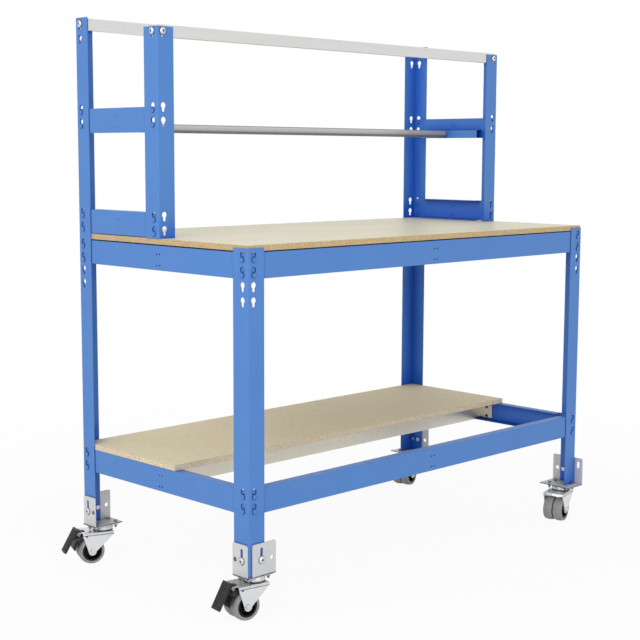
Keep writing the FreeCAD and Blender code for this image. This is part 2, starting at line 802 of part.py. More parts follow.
def fork(foot, frame):
    """Folded fork: crown, two tapered cheeks with rounded tips, lower race on top, a notch for a pedal."""
    body = new_body(f"{foot.name}_fork", frame)
    cheeks = new_sketch(body, "XZ_Plane")
    corners = [
        ("-trail - fork_tip_radius", "wheel_radius"),
        ("-trail + fork_tip_radius", "wheel_radius"),
        ("fork_front", "fork_top - fork_lip"),
        ("fork_front", "fork_top"),
        ("-fork_back", "fork_top"),
        ("-fork_back", "fork_top - fork_lip"),
    ]
    loop(cheeks, corners, {0: ("half", "fork_tip_radius")})
    feature(body, "Pad", cheeks, "fork_width", symmetric=True)
    hollow = new_sketch(body, "XZ_Plane")
    rectangle(hollow, "-fork_back - cut_margin", "fork_front + cut_margin",
              "wheel_radius - fork_tip_radius - cut_margin", "fork_top - fork_sheet")
    feature(body, "Pocket", hollow, "fork_inside", symmetric=True)
    race = new_sketch(body, "XY_Plane", "fork_top")
    round_hole(race, "0", "0", "lower_race_radius")
    feature(body, "Pad", race, "lower_race_height")
    pin_hole = new_sketch(body, "XY_Plane", "fork_top + lower_race_height")
    round_hole(pin_hole, "0", "0", "pin_radius + running_fit")
    feature(body, "Pocket", pin_hole, "lower_race_height + fork_sheet + cut_margin")
    pivots = new_sketch(body, "XZ_Plane")
    round_hole(pivots, "-trail", "wheel_radius", "axle_hole")
    if foot.braked:
        round_hole(pivots, "-pedal_pivot_back", "pedal_pivot_height", "pedal_pin_radius + running_fit")
    feature(body, "Pocket", pivots, "fork_width + cut_margin", symmetric=True)
    if foot.braked:
        notch = new_sketch(body, "XY_Plane", "fork_top")
        half = "(pedal_arm_width / 2 + pedal_side_gap)"
        rectangle(notch, "-fork_back - cut_margin", "-pedal_pivot_back", f"-{half}", half)
        feature(body, "Pocket", notch, "2 * fork_sheet")


def axle(foot, frame):
    """Axle bolt with a hexagon head and a nut outside the fork's cheeks."""
    half = size("fork_width") / 2
    shank = doc.addObject("Part::Cylinder", f"{foot.name}_axle_shank")
    shank.setExpression("Radius", bound("axle_radius"))
    shank.setExpression("Height", bound("fork_width"))
    pieces = [shank]
    for end, start in (("head", -half - size("axle_head_height")), ("nut", half)):
        hexagon = doc.addObject("Part::Prism", f"{foot.name}_axle_{end}")
        hexagon.Polygon = 6
        hexagon.setExpression("Circumradius", bound("axle_head_radius"))
        hexagon.setExpression("Height", bound("axle_head_height"))
        hexagon.Placement.Base = FreeCAD.Vector(0, 0, start)
        pieces.append(hexagon)
    shank.Placement.Base = FreeCAD.Vector(0, 0, -half)
    node = doc.addObject("Part::MultiFuse", f"{foot.name}_axle")
    node.Label = f"{foot.name}_axle"
    node.Shapes = pieces
    node.Placement = wheel_frame(frame)
    parts.append(node)


def wheel_frame(frame):
    """Placement of the wheel's centre, with the local Z along the axle."""
    across = FreeCAD.Rotation(FreeCAD.Vector(1, 0, 0), 90)
    return frame.multiply(FreeCAD.Placement(vector("-trail", "0", "wheel_radius"), across))


def hub(foot, frame):
    """Hub with a long boss, a thin web, a rim and a rib between the tyres."""
    body = new_body(f"{foot.name}_hub", wheel_frame(frame))
    section = new_sketch(body, "XZ_Plane")
    rim_inside = "hub_radius - hub_rim"
    steps = [
        ("axle_hole", "boss_half"),
        ("hub_boss_radius", "boss_half"),
        ("hub_boss_radius", "hub_web / 2"),
        (rim_inside, "hub_web / 2"),
        (rim_inside, "wheel_width / 2"),
        ("hub_radius", "wheel_width / 2"),
        ("hub_radius", "hub_rib_width / 2"),
        ("hub_radius + hub_rib_height", "hub_rib_width / 2"),
    ]
    lower = [(radius, f"-{height}") for radius, height in steps]
    loop(section, lower + steps[::-1])
    revolve(body, section)


def tyres(foot, frame):
    """Pair of tyres, one each side of the hub's rib, with a crowned tread."""
    body = new_body(f"{foot.name}_tyres", wheel_frame(frame))
    section = new_sketch(body, "XZ_Plane")
    shoulder = "wheel_radius - tyre_crown"
    for low, high in (("-wheel_width / 2", "-hub_rib_width / 2"), ("hub_rib_width / 2", "wheel_width / 2")):
        corners = [("tyre_inside", low), (shoulder, low), (shoulder, high), ("tyre_inside", high)]
        loop(section, corners, {1: ("round", "tyre_crown_radius")})
    revolve(body, section)


def pedal(foot, frame):
    """Brake pedal: sloping foot plate and shoe on a short arm that turns on a pin in the fork's cheeks."""
    body = new_body(f"{foot.name}_pedal", frame)
    plate = new_sketch(body, "XZ_Plane")
    corners = [
        ("-pedal_top_back", "pedal_top_height"),
        ("-pedal_top_back - pedal_reach", "pedal_top_height - pedal_drop"),
        ("-pedal_top_back - pedal_reach + pedal_in", "pedal_top_height - pedal_drop - pedal_under"),
        ("-pedal_top_back + pedal_in", "pedal_top_height - pedal_under"),
    ]
    loop(plate, corners)
    feature(body, "Pad", plate, "pedal_width", symmetric=True)
    arm = new_sketch(body, "XZ_Plane")
    corners = [
        ("-pedal_top_back - (pedal_reach - pedal_in) / 2",
         "pedal_top_height - (pedal_drop + pedal_under) / 2"),
        ("-pedal_pivot_back", "pedal_pivot_height - pedal_arm / 2"),
        ("-pedal_pivot_back", "pedal_pivot_height + pedal_arm / 2"),
        ("-pedal_top_back + pedal_in / 2", "pedal_top_height - pedal_under / 2"),
    ]
    loop(arm, corners, {1: ("half", "pedal_arm / 2")})
    feature(body, "Pad", arm, "pedal_arm_width", symmetric=True)
    shoe = new_sketch(body, "XZ_Plane")
    corners = [
        ("-shoe_low_back", "shoe_low_height"),
        ("-shoe_high_back", "shoe_high_height"),
        ("-shoe_high_back", "pedal_pivot_height"),
        ("-shoe_low_back - shoe_back", "pedal_pivot_height"),
        ("-shoe_low_back - shoe_back", "shoe_low_height"),
    ]
    loop(shoe, corners, {0: ("hollow", "shoe_radius")})
    feature(body, "Pad", shoe, "shoe_width", symmetric=True)
    pin = new_sketch(body, "XZ_Plane")
    round_hole(pin, "-pedal_pivot_back", "pedal_pivot_height", "pedal_pin_radius")
    feature(body, "Pad", pin, "fork_width", symmetric=True)


def caster(foot):
    """Swivel caster under one foot."""
    frame = turned(foot.swivel(), size(foot.turn))
    caster_plate(foot)
    fork(foot, frame)
    axle(foot, frame)
    hub(foot, frame)
    tyres(foot, frame)
    if foot.braked:
        pedal(foot, frame)


def frame_angles():
    """Legs, uprights and posts."""
    base = rows("base_rise + beam_row", 0, 1)
    top = rows("worktop_rise + beam_row", -2, 1)
    low = rows("low_beam_z - foot_height + beam_row", 0, 1)
    step = rows("step_beam_z - foot_height + step_row", 0, 1)
    head = rows("rear_bolt_z - foot_height - keyhole_drop", -1, 0)
    for foot in FEET:
        rear = foot.name.startswith("rear")
        heights = base + top + low + step + head if rear else base + top
        length = "rear_upright_length" if rear else "front_leg_length"
        label = f"{foot.name}_upright" if rear else f"{foot.name}_leg"
        bolts = [FLANGES[flange][-1] if flange else () for flange in foot.flanges]
        corner_angle(label, foot.name, "foot_height", length, heights, bolts)
    heights = rows("low_beam_gap + beam_row", 0, 1) + rows("step_rise + step_row", 0, 1)
    heights.append("post_bolt_rise - keyhole_drop")
    for post in ("left_post", "right_post"):
        corner_angle(post, post, "worktop_top", "post_length", heights, ((), ()))


def frame_beams():
    """Beams of the base, of the worktop and of the upstand."""
    spans = {
        "front": ("front_left", "(table_length - 2 * beam_inset)"),
        "right": ("front_right", "(table_depth - 2 * beam_inset)"),
        "rear": ("rear_right", "(table_length - 2 * beam_inset)"),
        "left": ("rear_left", "(table_depth - 2 * beam_inset)"),
    }
    for level, height in (("base", "base_beam_z"), ("worktop", "worktop_beam_z")):
        members = [
            (f"{level}_{side}", corner, height, length, "beam_row", False)
            for side, (corner, length) in spans.items()
        ]
        beam_set(level, members)
    upstand = []
    for side, corner in (("left", "rear_left"), ("right", "right_post")):
        length = "(upstand_depth - 2 * beam_inset)"
        upstand.append((f"upstand_low_{side}", corner, "low_beam_z", length, "beam_row", False))
        upstand.append((f"upstand_step_{side}", corner, "step_beam_z", length, "step_row", True))
    beam_set("upstand", upstand)


def centre_origin():
    """Moves the table so that the origin is at the middle of its floor area."""
    box = Part.makeCompound([part.Shape for part in parts]).BoundBox
    shift = FreeCAD.Vector(-box.Center.x, -box.Center.y, -box.ZMin)
    for part in parts:
        part.Placement = FreeCAD.Placement(shift, FreeCAD.Rotation()).multiply(part.Placement)
    doc.recompute()
    print("origin shift", shift, "size", box.XLength, box.YLength, box.ZLength)


def check():
    """Stops if an object failed or a shape is missing or broken."""
    failed = [item.Name for item in doc.Objects if {"Invalid", "Error"} & set(item.State)]
    failed += [part.Label for part in parts if part.Shape.isNull() or not part.Shape.isValid()]
    if failed:
        raise RuntimeError(f"broken: {failed}")


def export():
    """Writes each piece to its own file."""
    os.makedirs("parts", exist_ok=True)
    for part in parts:
        part.Shape.exportStep(f"parts/{part.Label}.step")


# Outer corners of the frame and of the upstand: place and turn of the side that starts there
CORNERS = {
    "front_left": ("-table_length / 2", "-table_depth / 2", 0),
    "front_right": ("table_length / 2", "-table_depth / 2", 90),
    "rear_right": ("table_length / 2", "table_depth / 2", 180),
    "rear_left": ("-table_length / 2", "table_depth / 2", -90),
    "left_post": ("-table_length / 2", "post_back", 0),
    "right_post": ("table_length / 2", "post_back", 90),
}

# Bracket flanges, measured from the angle's corner: start, end, slot, hole and bolts
FLANGES = {
    "wide": ("wide_flange_start", "left_plate_length - bracket_sheet", "wide_flange_bolt", "wide_flange_hole",
             ("wide_flange_bolt",)),
    "narrow": ("narrow_flange_start", "left_plate_width - bracket_sheet", "narrow_flange_bolt",
               "narrow_flange_hole", ("narrow_flange_bolt",)),
    "long": ("-long_flange_front", "long_flange_back", "long_flange_margin - long_flange_front",
             "long_flange_back - long_flange_margin", ("long_flange_bolt", "long_flange_second_bolt")),
}

# Flanges on the first and second side of each corner, swivel angle, and whether the caster has a brake
FEET = [
    Foot("front_left", ("wide", "narrow"), "front_left_turn", True),
    Foot("rear_left", ("narrow", "wide"), "rear_left_turn", True),
    Foot("front_right", ("long", None), "front_right_turn", False),
    Foot("rear_right", (None, "long"), "rear_right_turn", False),
]


def main():
    """Builds the table and writes its pieces."""
    fill_sheet()
    frame_angles()
    frame_beams()
    top_bars()
    edge = "(table_depth / 2 - angle_sheet - board_margin)"
    board("worktop_board", f"-{edge}", "worktop_bottom", "worktop_thickness")
    board("base_shelf", f"{edge} - shelf_depth", "base_top", "shelf_thickness")
    cross_channel("base_channel", "base_top", "base_beam_z")
    cross_channel("worktop_channel", "worktop_bottom", "worktop_beam_z")
    step_rail("step_rail")
    for foot in FEET:
        foot_bracket(foot)
        caster(foot)
    foot_bolts()
    doc.recompute()
    check()
    centre_origin()
    check()
    export()


main()
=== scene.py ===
import json
import logging
import math
from dataclasses import dataclass, field
from enum import Enum
from typing import Any, Iterable, Mapping, Protocol, Sequence

import bmesh
import bpy
from mathutils import Matrix, Vector


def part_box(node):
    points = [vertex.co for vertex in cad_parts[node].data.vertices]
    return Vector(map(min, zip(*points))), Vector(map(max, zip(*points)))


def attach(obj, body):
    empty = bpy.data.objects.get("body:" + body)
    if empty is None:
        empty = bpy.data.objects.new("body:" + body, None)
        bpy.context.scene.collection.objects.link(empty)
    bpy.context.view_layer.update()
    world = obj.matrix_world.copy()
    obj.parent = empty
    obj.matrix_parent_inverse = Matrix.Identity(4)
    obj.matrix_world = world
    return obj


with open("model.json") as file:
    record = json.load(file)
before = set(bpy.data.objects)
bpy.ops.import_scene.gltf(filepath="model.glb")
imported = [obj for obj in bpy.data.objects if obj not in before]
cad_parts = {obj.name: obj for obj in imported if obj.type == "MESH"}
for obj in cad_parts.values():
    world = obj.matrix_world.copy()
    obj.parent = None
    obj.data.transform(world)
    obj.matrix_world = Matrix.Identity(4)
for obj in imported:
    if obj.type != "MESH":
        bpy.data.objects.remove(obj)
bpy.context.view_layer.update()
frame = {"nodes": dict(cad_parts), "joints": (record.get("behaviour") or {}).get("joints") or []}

log = logging.getLogger("work_table")
MM = 0.001
HOLE_ROWS = (14 * MM, 46 * MM)  # hole pairs above the foot of a beam
HOLE_OFFSET = 6.25 * MM  # from the middle of a hole pair to each hole
WHITE = (1.0, 1.0, 1.0)

Colour = tuple[float, float, float]
Point2 = tuple[float, float]
Point3 = tuple[float, float, float]
Section = tuple[Point2, ...]
Material = bpy.types.Material
Socket = bpy.types.NodeSocket


class Slot(str, Enum):
    """Material slots of the record, passed along with the added pieces."""

    PAINT = "blue_paint"
    ZINC = "zinc"
    PLASTIC = "black_plastic"


class Face(Enum):
    """Which way a level face looks."""

    TOP = 1
    UNDER = -1


@dataclass(frozen=True)
class Pattern:
    """Spread of a pattern: its scale per metre, its octaves and its stretch along each axis."""

    scale: float
    detail: float = 2.0
    stretch: Point3 = (1.0, 1.0, 1.0)


@dataclass(frozen=True)
class Hollow:
    """How a colour is laid, by ambient occlusion, where other surfaces are near.

    The share holds where the surface is as closed as the span's start, and is gone at its end.
    """

    reach: float
    share: float
    span: Point2


@dataclass(frozen=True)
class WearAndEdgeShading:
    """How edges are marked, as wear on board and plastic, as a painted highlight on the blue paint
    and as a painted shadow outline on the rivets: their reach in metres, patches per metre, least
    and greatest share.
    """

    reach: float
    patches: float
    shares: Point2


@dataclass(frozen=True)
class Grain:
    """Fine relief: the share of it that shows, its depth and the radius of edges, in metres."""

    strength: float
    depth: float
    edge: float


class Graph:
    """The node tree of a material or of the world, built node by node."""

    edge_span: Point2 = (0.72, 0.985)
    level_span: Point2 = (0.4, 0.6)
    bevel_samples: int = 4
    hollow_samples: int = 6

    def __init__(self, name: str, world: bool = False) -> None:
        """Start an empty tree with an output node.

        Args:
            name: name of the material or world.
            world: whether it is the world's tree.
        """
        self.owner = (bpy.data.worlds if world else bpy.data.materials).new(name)
        self.owner.use_nodes = True
        self.tree = self.owner.node_tree
        self.tree.nodes.clear()
        self.output = self.add("OutputWorld" if world else "OutputMaterial")

    def add(
        self, kind: str, inputs: Mapping[Any, Any] | None = None, **settings: Any
    ) -> bpy.types.Node:
        """Add a node.

        Args:
            kind: node type, without its ShaderNode prefix.
            inputs: values or sockets for the node's inputs, by name or index.
            settings: properties of the node itself.

        Returns:
            The new node.
        """
        node = self.tree.nodes.new("ShaderNode" + kind)
        for key, value in settings.items():
            setattr(node, key, value)
        for key, value in (inputs or {}).items():
            self.feed(node.inputs[key], value)
        return node

    def feed(self, socket: Socket, value: Any) -> None:
        """Link a socket into an input, or set the input's own value.

        Args:
            socket: the input.
            value: a socket, number, vector or colour.
        """
        if isinstance(value, Socket):
            self.tree.links.new(value, socket)
        elif isinstance(value, tuple) and len(value) == 3 and socket.type == "RGBA":
            socket.default_value = (*value, 1.0)
        else:
            socket.default_value = value

    def place(self, stretch: Point3 = (1.0, 1.0, 1.0)) -> Socket:
        """Coordinates in the table's frame, in metres times a stretch along each axis."""
        coordinates = self.add("TexCoord").outputs["Object"]
        return self.add("Mapping", {"Vector": coordinates, "Scale": stretch}).outputs["Vector"]

    def height(self) -> Socket:
        """Height in the table's frame, in metres."""
        return self.add("SeparateXYZ", {0: self.place()}).outputs["Z"]

    def spread(self, pattern: Pattern) -> dict[str, Any]:
        """Inputs that spread a pattern over the table."""
        return {"Vector": self.place(pattern.stretch), "Scale": pattern.scale}

    def noise(self, pattern: Pattern) -> Socket:
        """Cloudy noise from 0 to 1."""
        inputs = {**self.spread(pattern), "Detail": pattern.detail}
        return self.add("TexNoise", inputs).outputs["Fac"]

    def cells(self, pattern: Pattern) -> Socket:
        """Random grey from 0 to 1, the same all over each cell of a pattern."""
        colour = self.add("TexVoronoi", self.spread(pattern)).outputs["Color"]
        return self.add("SeparateColor", {0: colour}).outputs[0]

    def ranged(self, value: Any, low: float, high: float, span: Point2 = (0.0, 1.0)) -> Socket:
        """Map a value so that the span's start gives low and its end high, held beyond them."""
        names = ("Value", "From Min", "From Max", "To Min", "To Max")
        return self.add("MapRange", dict(zip(names, (value, *span, low, high)))).outputs["Result"]

    def mix(self, share: Any, first: Any, second: Any) -> Socket:
        """Mix two colours by the share of the second."""
        inputs = {"Factor": share, "A": first, "B": second}
        return self.add("Mix", inputs, data_type="RGBA").outputs["Result"]

    def sum(self, first: Any, second: Any, operation: str = "ADD") -> Socket:
        """Add two values, or work on them as the operation says."""
        return self.add("Math", {0: first, 1: second}, operation=operation).outputs[0]

    def product(self, first: Any, second: Any) -> Socket:
        """Multiply two values."""
        return self.sum(first, second, "MULTIPLY")

    def rounded(self, radius: float) -> Socket:
        """Surface normal with the sharp edges rounded off by a radius in metres."""
        return self.add("Bevel", {"Radius": radius}, samples=self.bevel_samples).outputs["Normal"]

    def edges(self, reach: float) -> Socket:
        """How near a sharp edge is.

        Args:
            reach: reach of the edge, in metres.

        Returns:
            A value from 0 on the flats to 1 on an edge.
        """
        normals = {0: self.rounded(reach), 1: self.add("NewGeometry").outputs["Normal"]}
        dot = self.add("VectorMath", normals, operation="DOT_PRODUCT").outputs["Value"]
        return self.ranged(dot, 1.0, 0.0, self.edge_span)

    def worn_and_shaded_edges(self, wear_and_edge_shading: WearAndEdgeShading) -> Socket:
        """Share of the edge colour, from 0 on the flats to the patches' shares on an edge."""
        patches = self.ranged(self.noise(Pattern(wear_and_edge_shading.patches)), *wear_and_edge_shading.shares)
        return self.product(self.edges(wear_and_edge_shading.reach), patches)

    def sheltered(self, hollow: Hollow) -> Socket:
        """Share of a colour laid in hollows by ambient occlusion, from 0 in the open."""
        node = self.add("AmbientOcclusion", {"Distance": hollow.reach}, samples=self.hollow_samples)
        return self.ranged(node.outputs["AO"], hollow.share, 0.0, hollow.span)

    def facing(self, side: Face) -> Socket:
        """1 on the faces that look up or down, as the side says, and 0 elsewhere."""
        up = self.add("SeparateXYZ", {0: self.add("NewGeometry").outputs["Normal"]}).outputs["Z"]
        return self.ranged(self.product(up, float(side.value)), 0.0, 1.0, self.level_span)

    def level(self) -> Socket:
        """1 on the faces that look up or down, and 0 on upright ones."""
        return self.sum(self.facing(Face.TOP), self.facing(Face.UNDER))

    def relief(self, pattern: Socket, grain: Grain) -> Socket:
        """Normal of a surface with rounded edges and a pattern as its fine relief."""
        inputs = {"Height": pattern, "Strength": grain.strength, "Distance": grain.depth}
        return self.add("Bump", {**inputs, "Normal": self.rounded(grain.edge)}).outputs["Normal"]

    def seen(self) -> Socket:
        """Tell what is seen from what gives light.

        Returns:
            1 for what is seen straight, mirrored or through glass, and 0 for light on other pieces.
        """
        path = self.add("LightPath").outputs
        mirrored = self.sum(path["Is Camera Ray"], path["Is Glossy Ray"], "MAXIMUM")
        return self.sum(mirrored, path["Is Transmission Ray"], "MAXIMUM")

    def blend(self, share: Socket, first: Socket, second: Socket) -> Socket:
        """Mix two shaders by the share of the second."""
        return self.add("MixShader", {0: share, 1: first, 2: second}).outputs[0]

    def close(self, shader: Socket) -> Any:
        """Link a shader to the output, and return the finished material or world."""
        self.tree.links.new(shader, self.output.inputs["Surface"])
        return self.owner

    def surface(self, inputs: Mapping[str, Any]) -> Material:
        """Close the tree with a surface that has these inputs, and return the material."""
        return self.close(self.add("BsdfPrincipled", inputs).outputs["BSDF"])


class Finish(Protocol):
    """Anything that can build a material."""

    def material(self) -> Material:
        """Build the finish, and return the new material."""


@dataclass(frozen=True)
class PowderCoat:
    """Satin blue powder coat, with orange peel, a painted highlight on its edges, and painted shade
    in hollows and seams.
    """

    name: str = "blue_powder_coat"
    flat: Colour = (0.089, 0.243, 0.588)
    # deep: a deeper blue, laid at random in clouds and, as painted shade, in hollows
    deep_tone_and_shade: Colour = (0.007, 0.105, 0.600)
    # edge: lighter blue painted along edges as a highlight, in patches
    edge: Colour = (0.170, 0.345, 0.690)
    # seam: near-black blue painted as shadow lines where parts meet
    seam_shadow: Colour = (0.002, 0.012, 0.060)
    clouds: Pattern = Pattern(7.0, 3.0)
    cloud_share: float = 0.18
    hollow_shade: Hollow = Hollow(80 * MM, 0.95, (0.55, 0.97))
    wear_and_edge_shading: WearAndEdgeShading = WearAndEdgeShading(1.4 * MM, 90.0, (0.15, 0.75))
    seam_shadows: Hollow = Hollow(5 * MM, 0.94, (0.50, 0.90))
    gloss: Pattern = Pattern(45.0)
    roughness: Point2 = (0.37, 0.49)
    sheen: float = 0.34
    peel: Pattern = Pattern(650.0)
    grain: Grain = Grain(0.10, 0.4 * MM, 1.4 * MM)

    def material(self) -> Material:
        """Build the finish.

        Returns:
            The new material.
        """
        graph = Graph(self.name)
        clouds = graph.ranged(graph.noise(self.clouds), 0.0, self.cloud_share)
        colour = graph.mix(clouds, self.flat, self.deep_tone_and_shade)
        # Painted shade: the deeper blue in hollows, by ambient occlusion.
        colour = graph.mix(graph.sheltered(self.hollow_shade), colour, self.deep_tone_and_shade)
        # Edge colour in patches along edges: a painted highlight on the blue paint, a painted
        # shadow outline on the rivets.
        colour = graph.mix(graph.worn_and_shaded_edges(self.wear_and_edge_shading), colour, self.edge)
        return graph.surface({
            # Painted shadow lines where parts meet, by ambient occlusion.
            "Base Color": graph.mix(graph.sheltered(self.seam_shadows), colour, self.seam_shadow),
            "Roughness": graph.ranged(graph.noise(self.gloss), *self.roughness),
            "Specular IOR Level": self.sheen,
            "Normal": graph.relief(graph.noise(self.peel), self.grain),
        })


@dataclass(frozen=True)
class GalvanisedSheet:
    """Hot-dip galvanised sheet with a small spangle, rolling streaks and painted light along its
    edges.
    """

    name: str
    bright: Colour
    dull: Colour
    # rim: band along the edges, a painted highlight here; the top bars take a dark one as painted
    # shade
    rim: Colour = (0.860, 0.870, 0.870)
    rim_reach: float = 0.9 * MM
    rim_share: float = 0.5
    spangle: Pattern = Pattern(240.0)
    spangle_share: float = 0.22
    streaks: Pattern = Pattern(60.0, 3.0, (0.05, 1.0, 1.0))
    streak_share: float = 0.55
    metallic: float = 0.9
    roughness: Point2 = (0.35, 0.44)
    relief: Point2 = (0.12, 0.2 * MM)

    def material(self) -> Material:
        """Build the finish.

        Returns:
            The new material.
        """
        graph = Graph(self.name)
        spangle = graph.cells(self.spangle)
        streaks = graph.noise(self.streaks)
        blend = graph.sum(graph.ranged(spangle, 0.0, self.spangle_share),
                          graph.ranged(streaks, 0.0, self.streak_share))
        # Edge band of the rim colour: painted light along the edges.
        rims = graph.ranged(graph.edges(self.rim_reach), 0.0, self.rim_share)
        return graph.surface({
            "Base Color": graph.mix(rims, graph.mix(blend, self.bright, self.dull), self.rim),
            "Metallic": self.metallic,
            "Roughness": graph.ranged(spangle, *self.roughness),
            "Normal": graph.relief(streaks, Grain(*self.relief, self.rim_reach)),
        })


@dataclass(frozen=True)
class RolledSection:
    """Roll-formed steel section whose sides carry painted shading: dark lines along the folds and a
    web that pales upward.

    Heights on its sides are shares of the way from low to high.
    """

    low: float
    high: float
    name: str = "rolled_section_painted_shading"
    plain: Colour = (0.560, 0.565, 0.545)
    streak: Colour = (0.430, 0.435, 0.420)
    lip_shade_grey: float = 0.11
    lip_end: float = 0.26
    web_shade_greys: Point2 = (0.43, 0.64)
    web_ends: Point2 = (0.39, 0.88)
    groove_shade_grey: float = 0.20
    groove_start: float = 0.94
    streaks: Pattern = Pattern(95.0, 4.0, (0.025, 1.0, 1.0))
    side_streaks: float = 0.4
    metallic: float = 0.50
    roughness: Point2 = (0.28, 0.44)
    grain: Grain = Grain(0.15, 0.2 * MM, 0.9 * MM)

    def material(self) -> Material:
        """Build the finish.

        Returns:
            The new material.
        """
        graph = Graph(self.name)
        streaks = graph.noise(self.streaks)
        flat = graph.mix(streaks, self.plain, self.streak)
        streaked = graph.ranged(streaks, 0.0, self.side_streaks)
        # Upright faces take the painted shading by height.
        side = graph.mix(streaked, self.side(graph), self.streak)
        return graph.surface({
            "Base Color": graph.mix(graph.level(), side, flat),
            "Metallic": self.metallic,
            "Roughness": graph.ranged(streaks, *self.roughness),
            "Normal": graph.relief(streaks, self.grain),
        })

    def side(self, graph: Graph) -> Socket:
        """Painted shading of the sides: a dark lip below, a web that pales upward, a dark groove on
        top.

        Args:
            graph: tree of the finish.

        Returns:
            The colour.
        """
        share = graph.ranged(graph.height(), 0.0, 1.0, (self.low, self.high))
        web = graph.ranged(share, *self.web_shade_greys, self.web_ends)
        above_lip = graph.ranged(share, 0.0, 1.0, (self.lip_end, self.web_ends[0]))
        in_groove = graph.ranged(share, 0.0, 1.0, (self.web_ends[1], self.groove_start))
        raised = graph.mix(above_lip, (self.lip_shade_grey,) * 3, web)
        return graph.mix(in_groove, raised, (self.groove_shade_grey,) * 3)


@dataclass(frozen=True)
class ZincPlate:
    """Bright zinc plate on pressed steel, with handling scratches and painted shade in its hollows.

    Where a fold is given, a painted shadow lies along it between those two heights.
    """

    name: str = "bright_zinc"
    bright: Colour = (0.720, 0.730, 0.745)
    dull: Colour = (0.520, 0.535, 0.560)
    hollow_dark: Colour = (0.150, 0.150, 0.155)
    fold_shadow: Colour = (0.045, 0.045, 0.048)
    fold: Point2 | None = None
    fold_softness: float = 0.3
    rags: Pattern = Pattern(130.0)
    rag_shares: Point2 = (0.65, 1.0)
    rag_span: Point2 = (0.3, 0.6)
    clouds: Pattern = Pattern(70.0, 3.0)
    cloud_share: float = 0.6
    zinc_hollow_shade: Hollow = Hollow(9 * MM, 0.65, (0.20, 0.75))
    scratches: Pattern = Pattern(420.0, 2.0, (1.0, 0.12, 0.6))
    metallic: float = 0.78
    roughness: Point2 = (0.27, 0.44)
    grain: Grain = Grain(0.10, 0.15 * MM, 0.7 * MM)

    def material(self) -> Material:
        """Build the finish.

        Returns:
            The new material.
        """
        graph = Graph(self.name)
        scratches = graph.noise(self.scratches)
        clouds = graph.ranged(graph.noise(self.clouds), 0.0, self.cloud_share)
        colour = graph.mix(clouds, self.bright, self.dull)
        # Painted shade: darker in hollows, by ambient occlusion.
        colour = graph.mix(graph.sheltered(self.zinc_hollow_shade), colour, self.hollow_dark)
        # Dark band along a fold: painted shadow.
        if self.fold:
            colour = graph.mix(self.along(graph, *self.fold), colour, self.fold_shadow)
        return graph.surface({
            "Base Color": colour,
            "Metallic": self.metallic,
            "Roughness": graph.ranged(scratches, *self.roughness),
            "Normal": graph.relief(scratches, self.grain),
        })

    def along(self, graph: Graph, low: float, high: float) -> Socket:
        """Share of painted shadow along the fold of an upright flange.

        Args:
            graph: tree of the finish.
            low: where the shadow starts.
            high: where it ends.

        Returns:
            A value from 0 to 1.
        """
        soft = (high - low) * self.fold_softness
        height = graph.height()
        over = graph.ranged(height, 0.0, 1.0, (low - soft, low))
        under = graph.ranged(height, 1.0, 0.0, (high - soft, high))
        ragged = graph.ranged(graph.noise(self.rags), *self.rag_shares, self.rag_span)
        upright = graph.sum(graph.level(), 1.0, "LESS_THAN")
        return graph.product(graph.product(graph.product(over, under), ragged), upright)


@dataclass(frozen=True)
class FacedBoard:
    """Board with a light decor face, a brown sawn edge and a plain under side."""

    name: str = "laminate_board"
    face: Colour = (0.835, 0.780, 0.585)
    fleck: Colour = (0.715, 0.650, 0.455)
    edge_light: Colour = (0.700, 0.530, 0.290)
    edge_dark: Colour = (0.390, 0.260, 0.120)
    under: Colour = (0.420, 0.320, 0.210)
    chips: Pattern = Pattern(260.0, stretch=(1.0, 1.0, 1.7))
    edge_chips: float = 0.6
    under_chips: float = 0.35
    fibres: Pattern = Pattern(900.0, 3.0)
    edge_fibres: float = 0.3
    fibre_span: Point2 = (0.35, 0.75)
    clouds: Pattern = Pattern(5.0, 4.0, (0.6, 1.0, 1.0))
    cloud_span: Point2 = (0.3, 0.7)
    fleck_share: float = 0.5
    wear_and_edge_shading: WearAndEdgeShading = WearAndEdgeShading(1.5 * MM, 60.0, (0.1, 0.6))
    roughness: Point2 = (0.72, 0.42)
    grain: Grain = Grain(0.16, 0.25 * MM, 1.0 * MM)

    def material(self) -> Material:
        """Build the finish.

        Returns:
            The new material.
        """
        graph = Graph(self.name)
        chips = graph.cells(self.chips)
        fibres = graph.noise(self.fibres)
        clouds = graph.noise(self.clouds)
        flecks = graph.sum(graph.ranged(fibres, 0.0, self.fleck_share, self.fibre_span),
                           graph.ranged(clouds, 0.0, self.fleck_share, self.cloud_span))
        sawn = graph.sum(graph.ranged(chips, 0.0, self.edge_chips),
                         graph.ranged(fibres, 0.0, self.edge_fibres))
        edge = graph.mix(sawn, self.edge_light, self.edge_dark)
        under = graph.mix(graph.ranged(chips, 0.0, self.under_chips), self.under, self.edge_dark)
        top = graph.facing(Face.TOP)
        colour = graph.mix(top, edge, graph.mix(flecks, self.face, self.fleck))
        colour = graph.mix(graph.facing(Face.UNDER), colour, under)
        return graph.surface({
            "Base Color": graph.mix(graph.worn_and_shaded_edges(self.wear_and_edge_shading), colour, self.edge_light),
            "Roughness": graph.ranged(top, *self.roughness),
            "Normal": graph.relief(fibres, self.grain),
        })


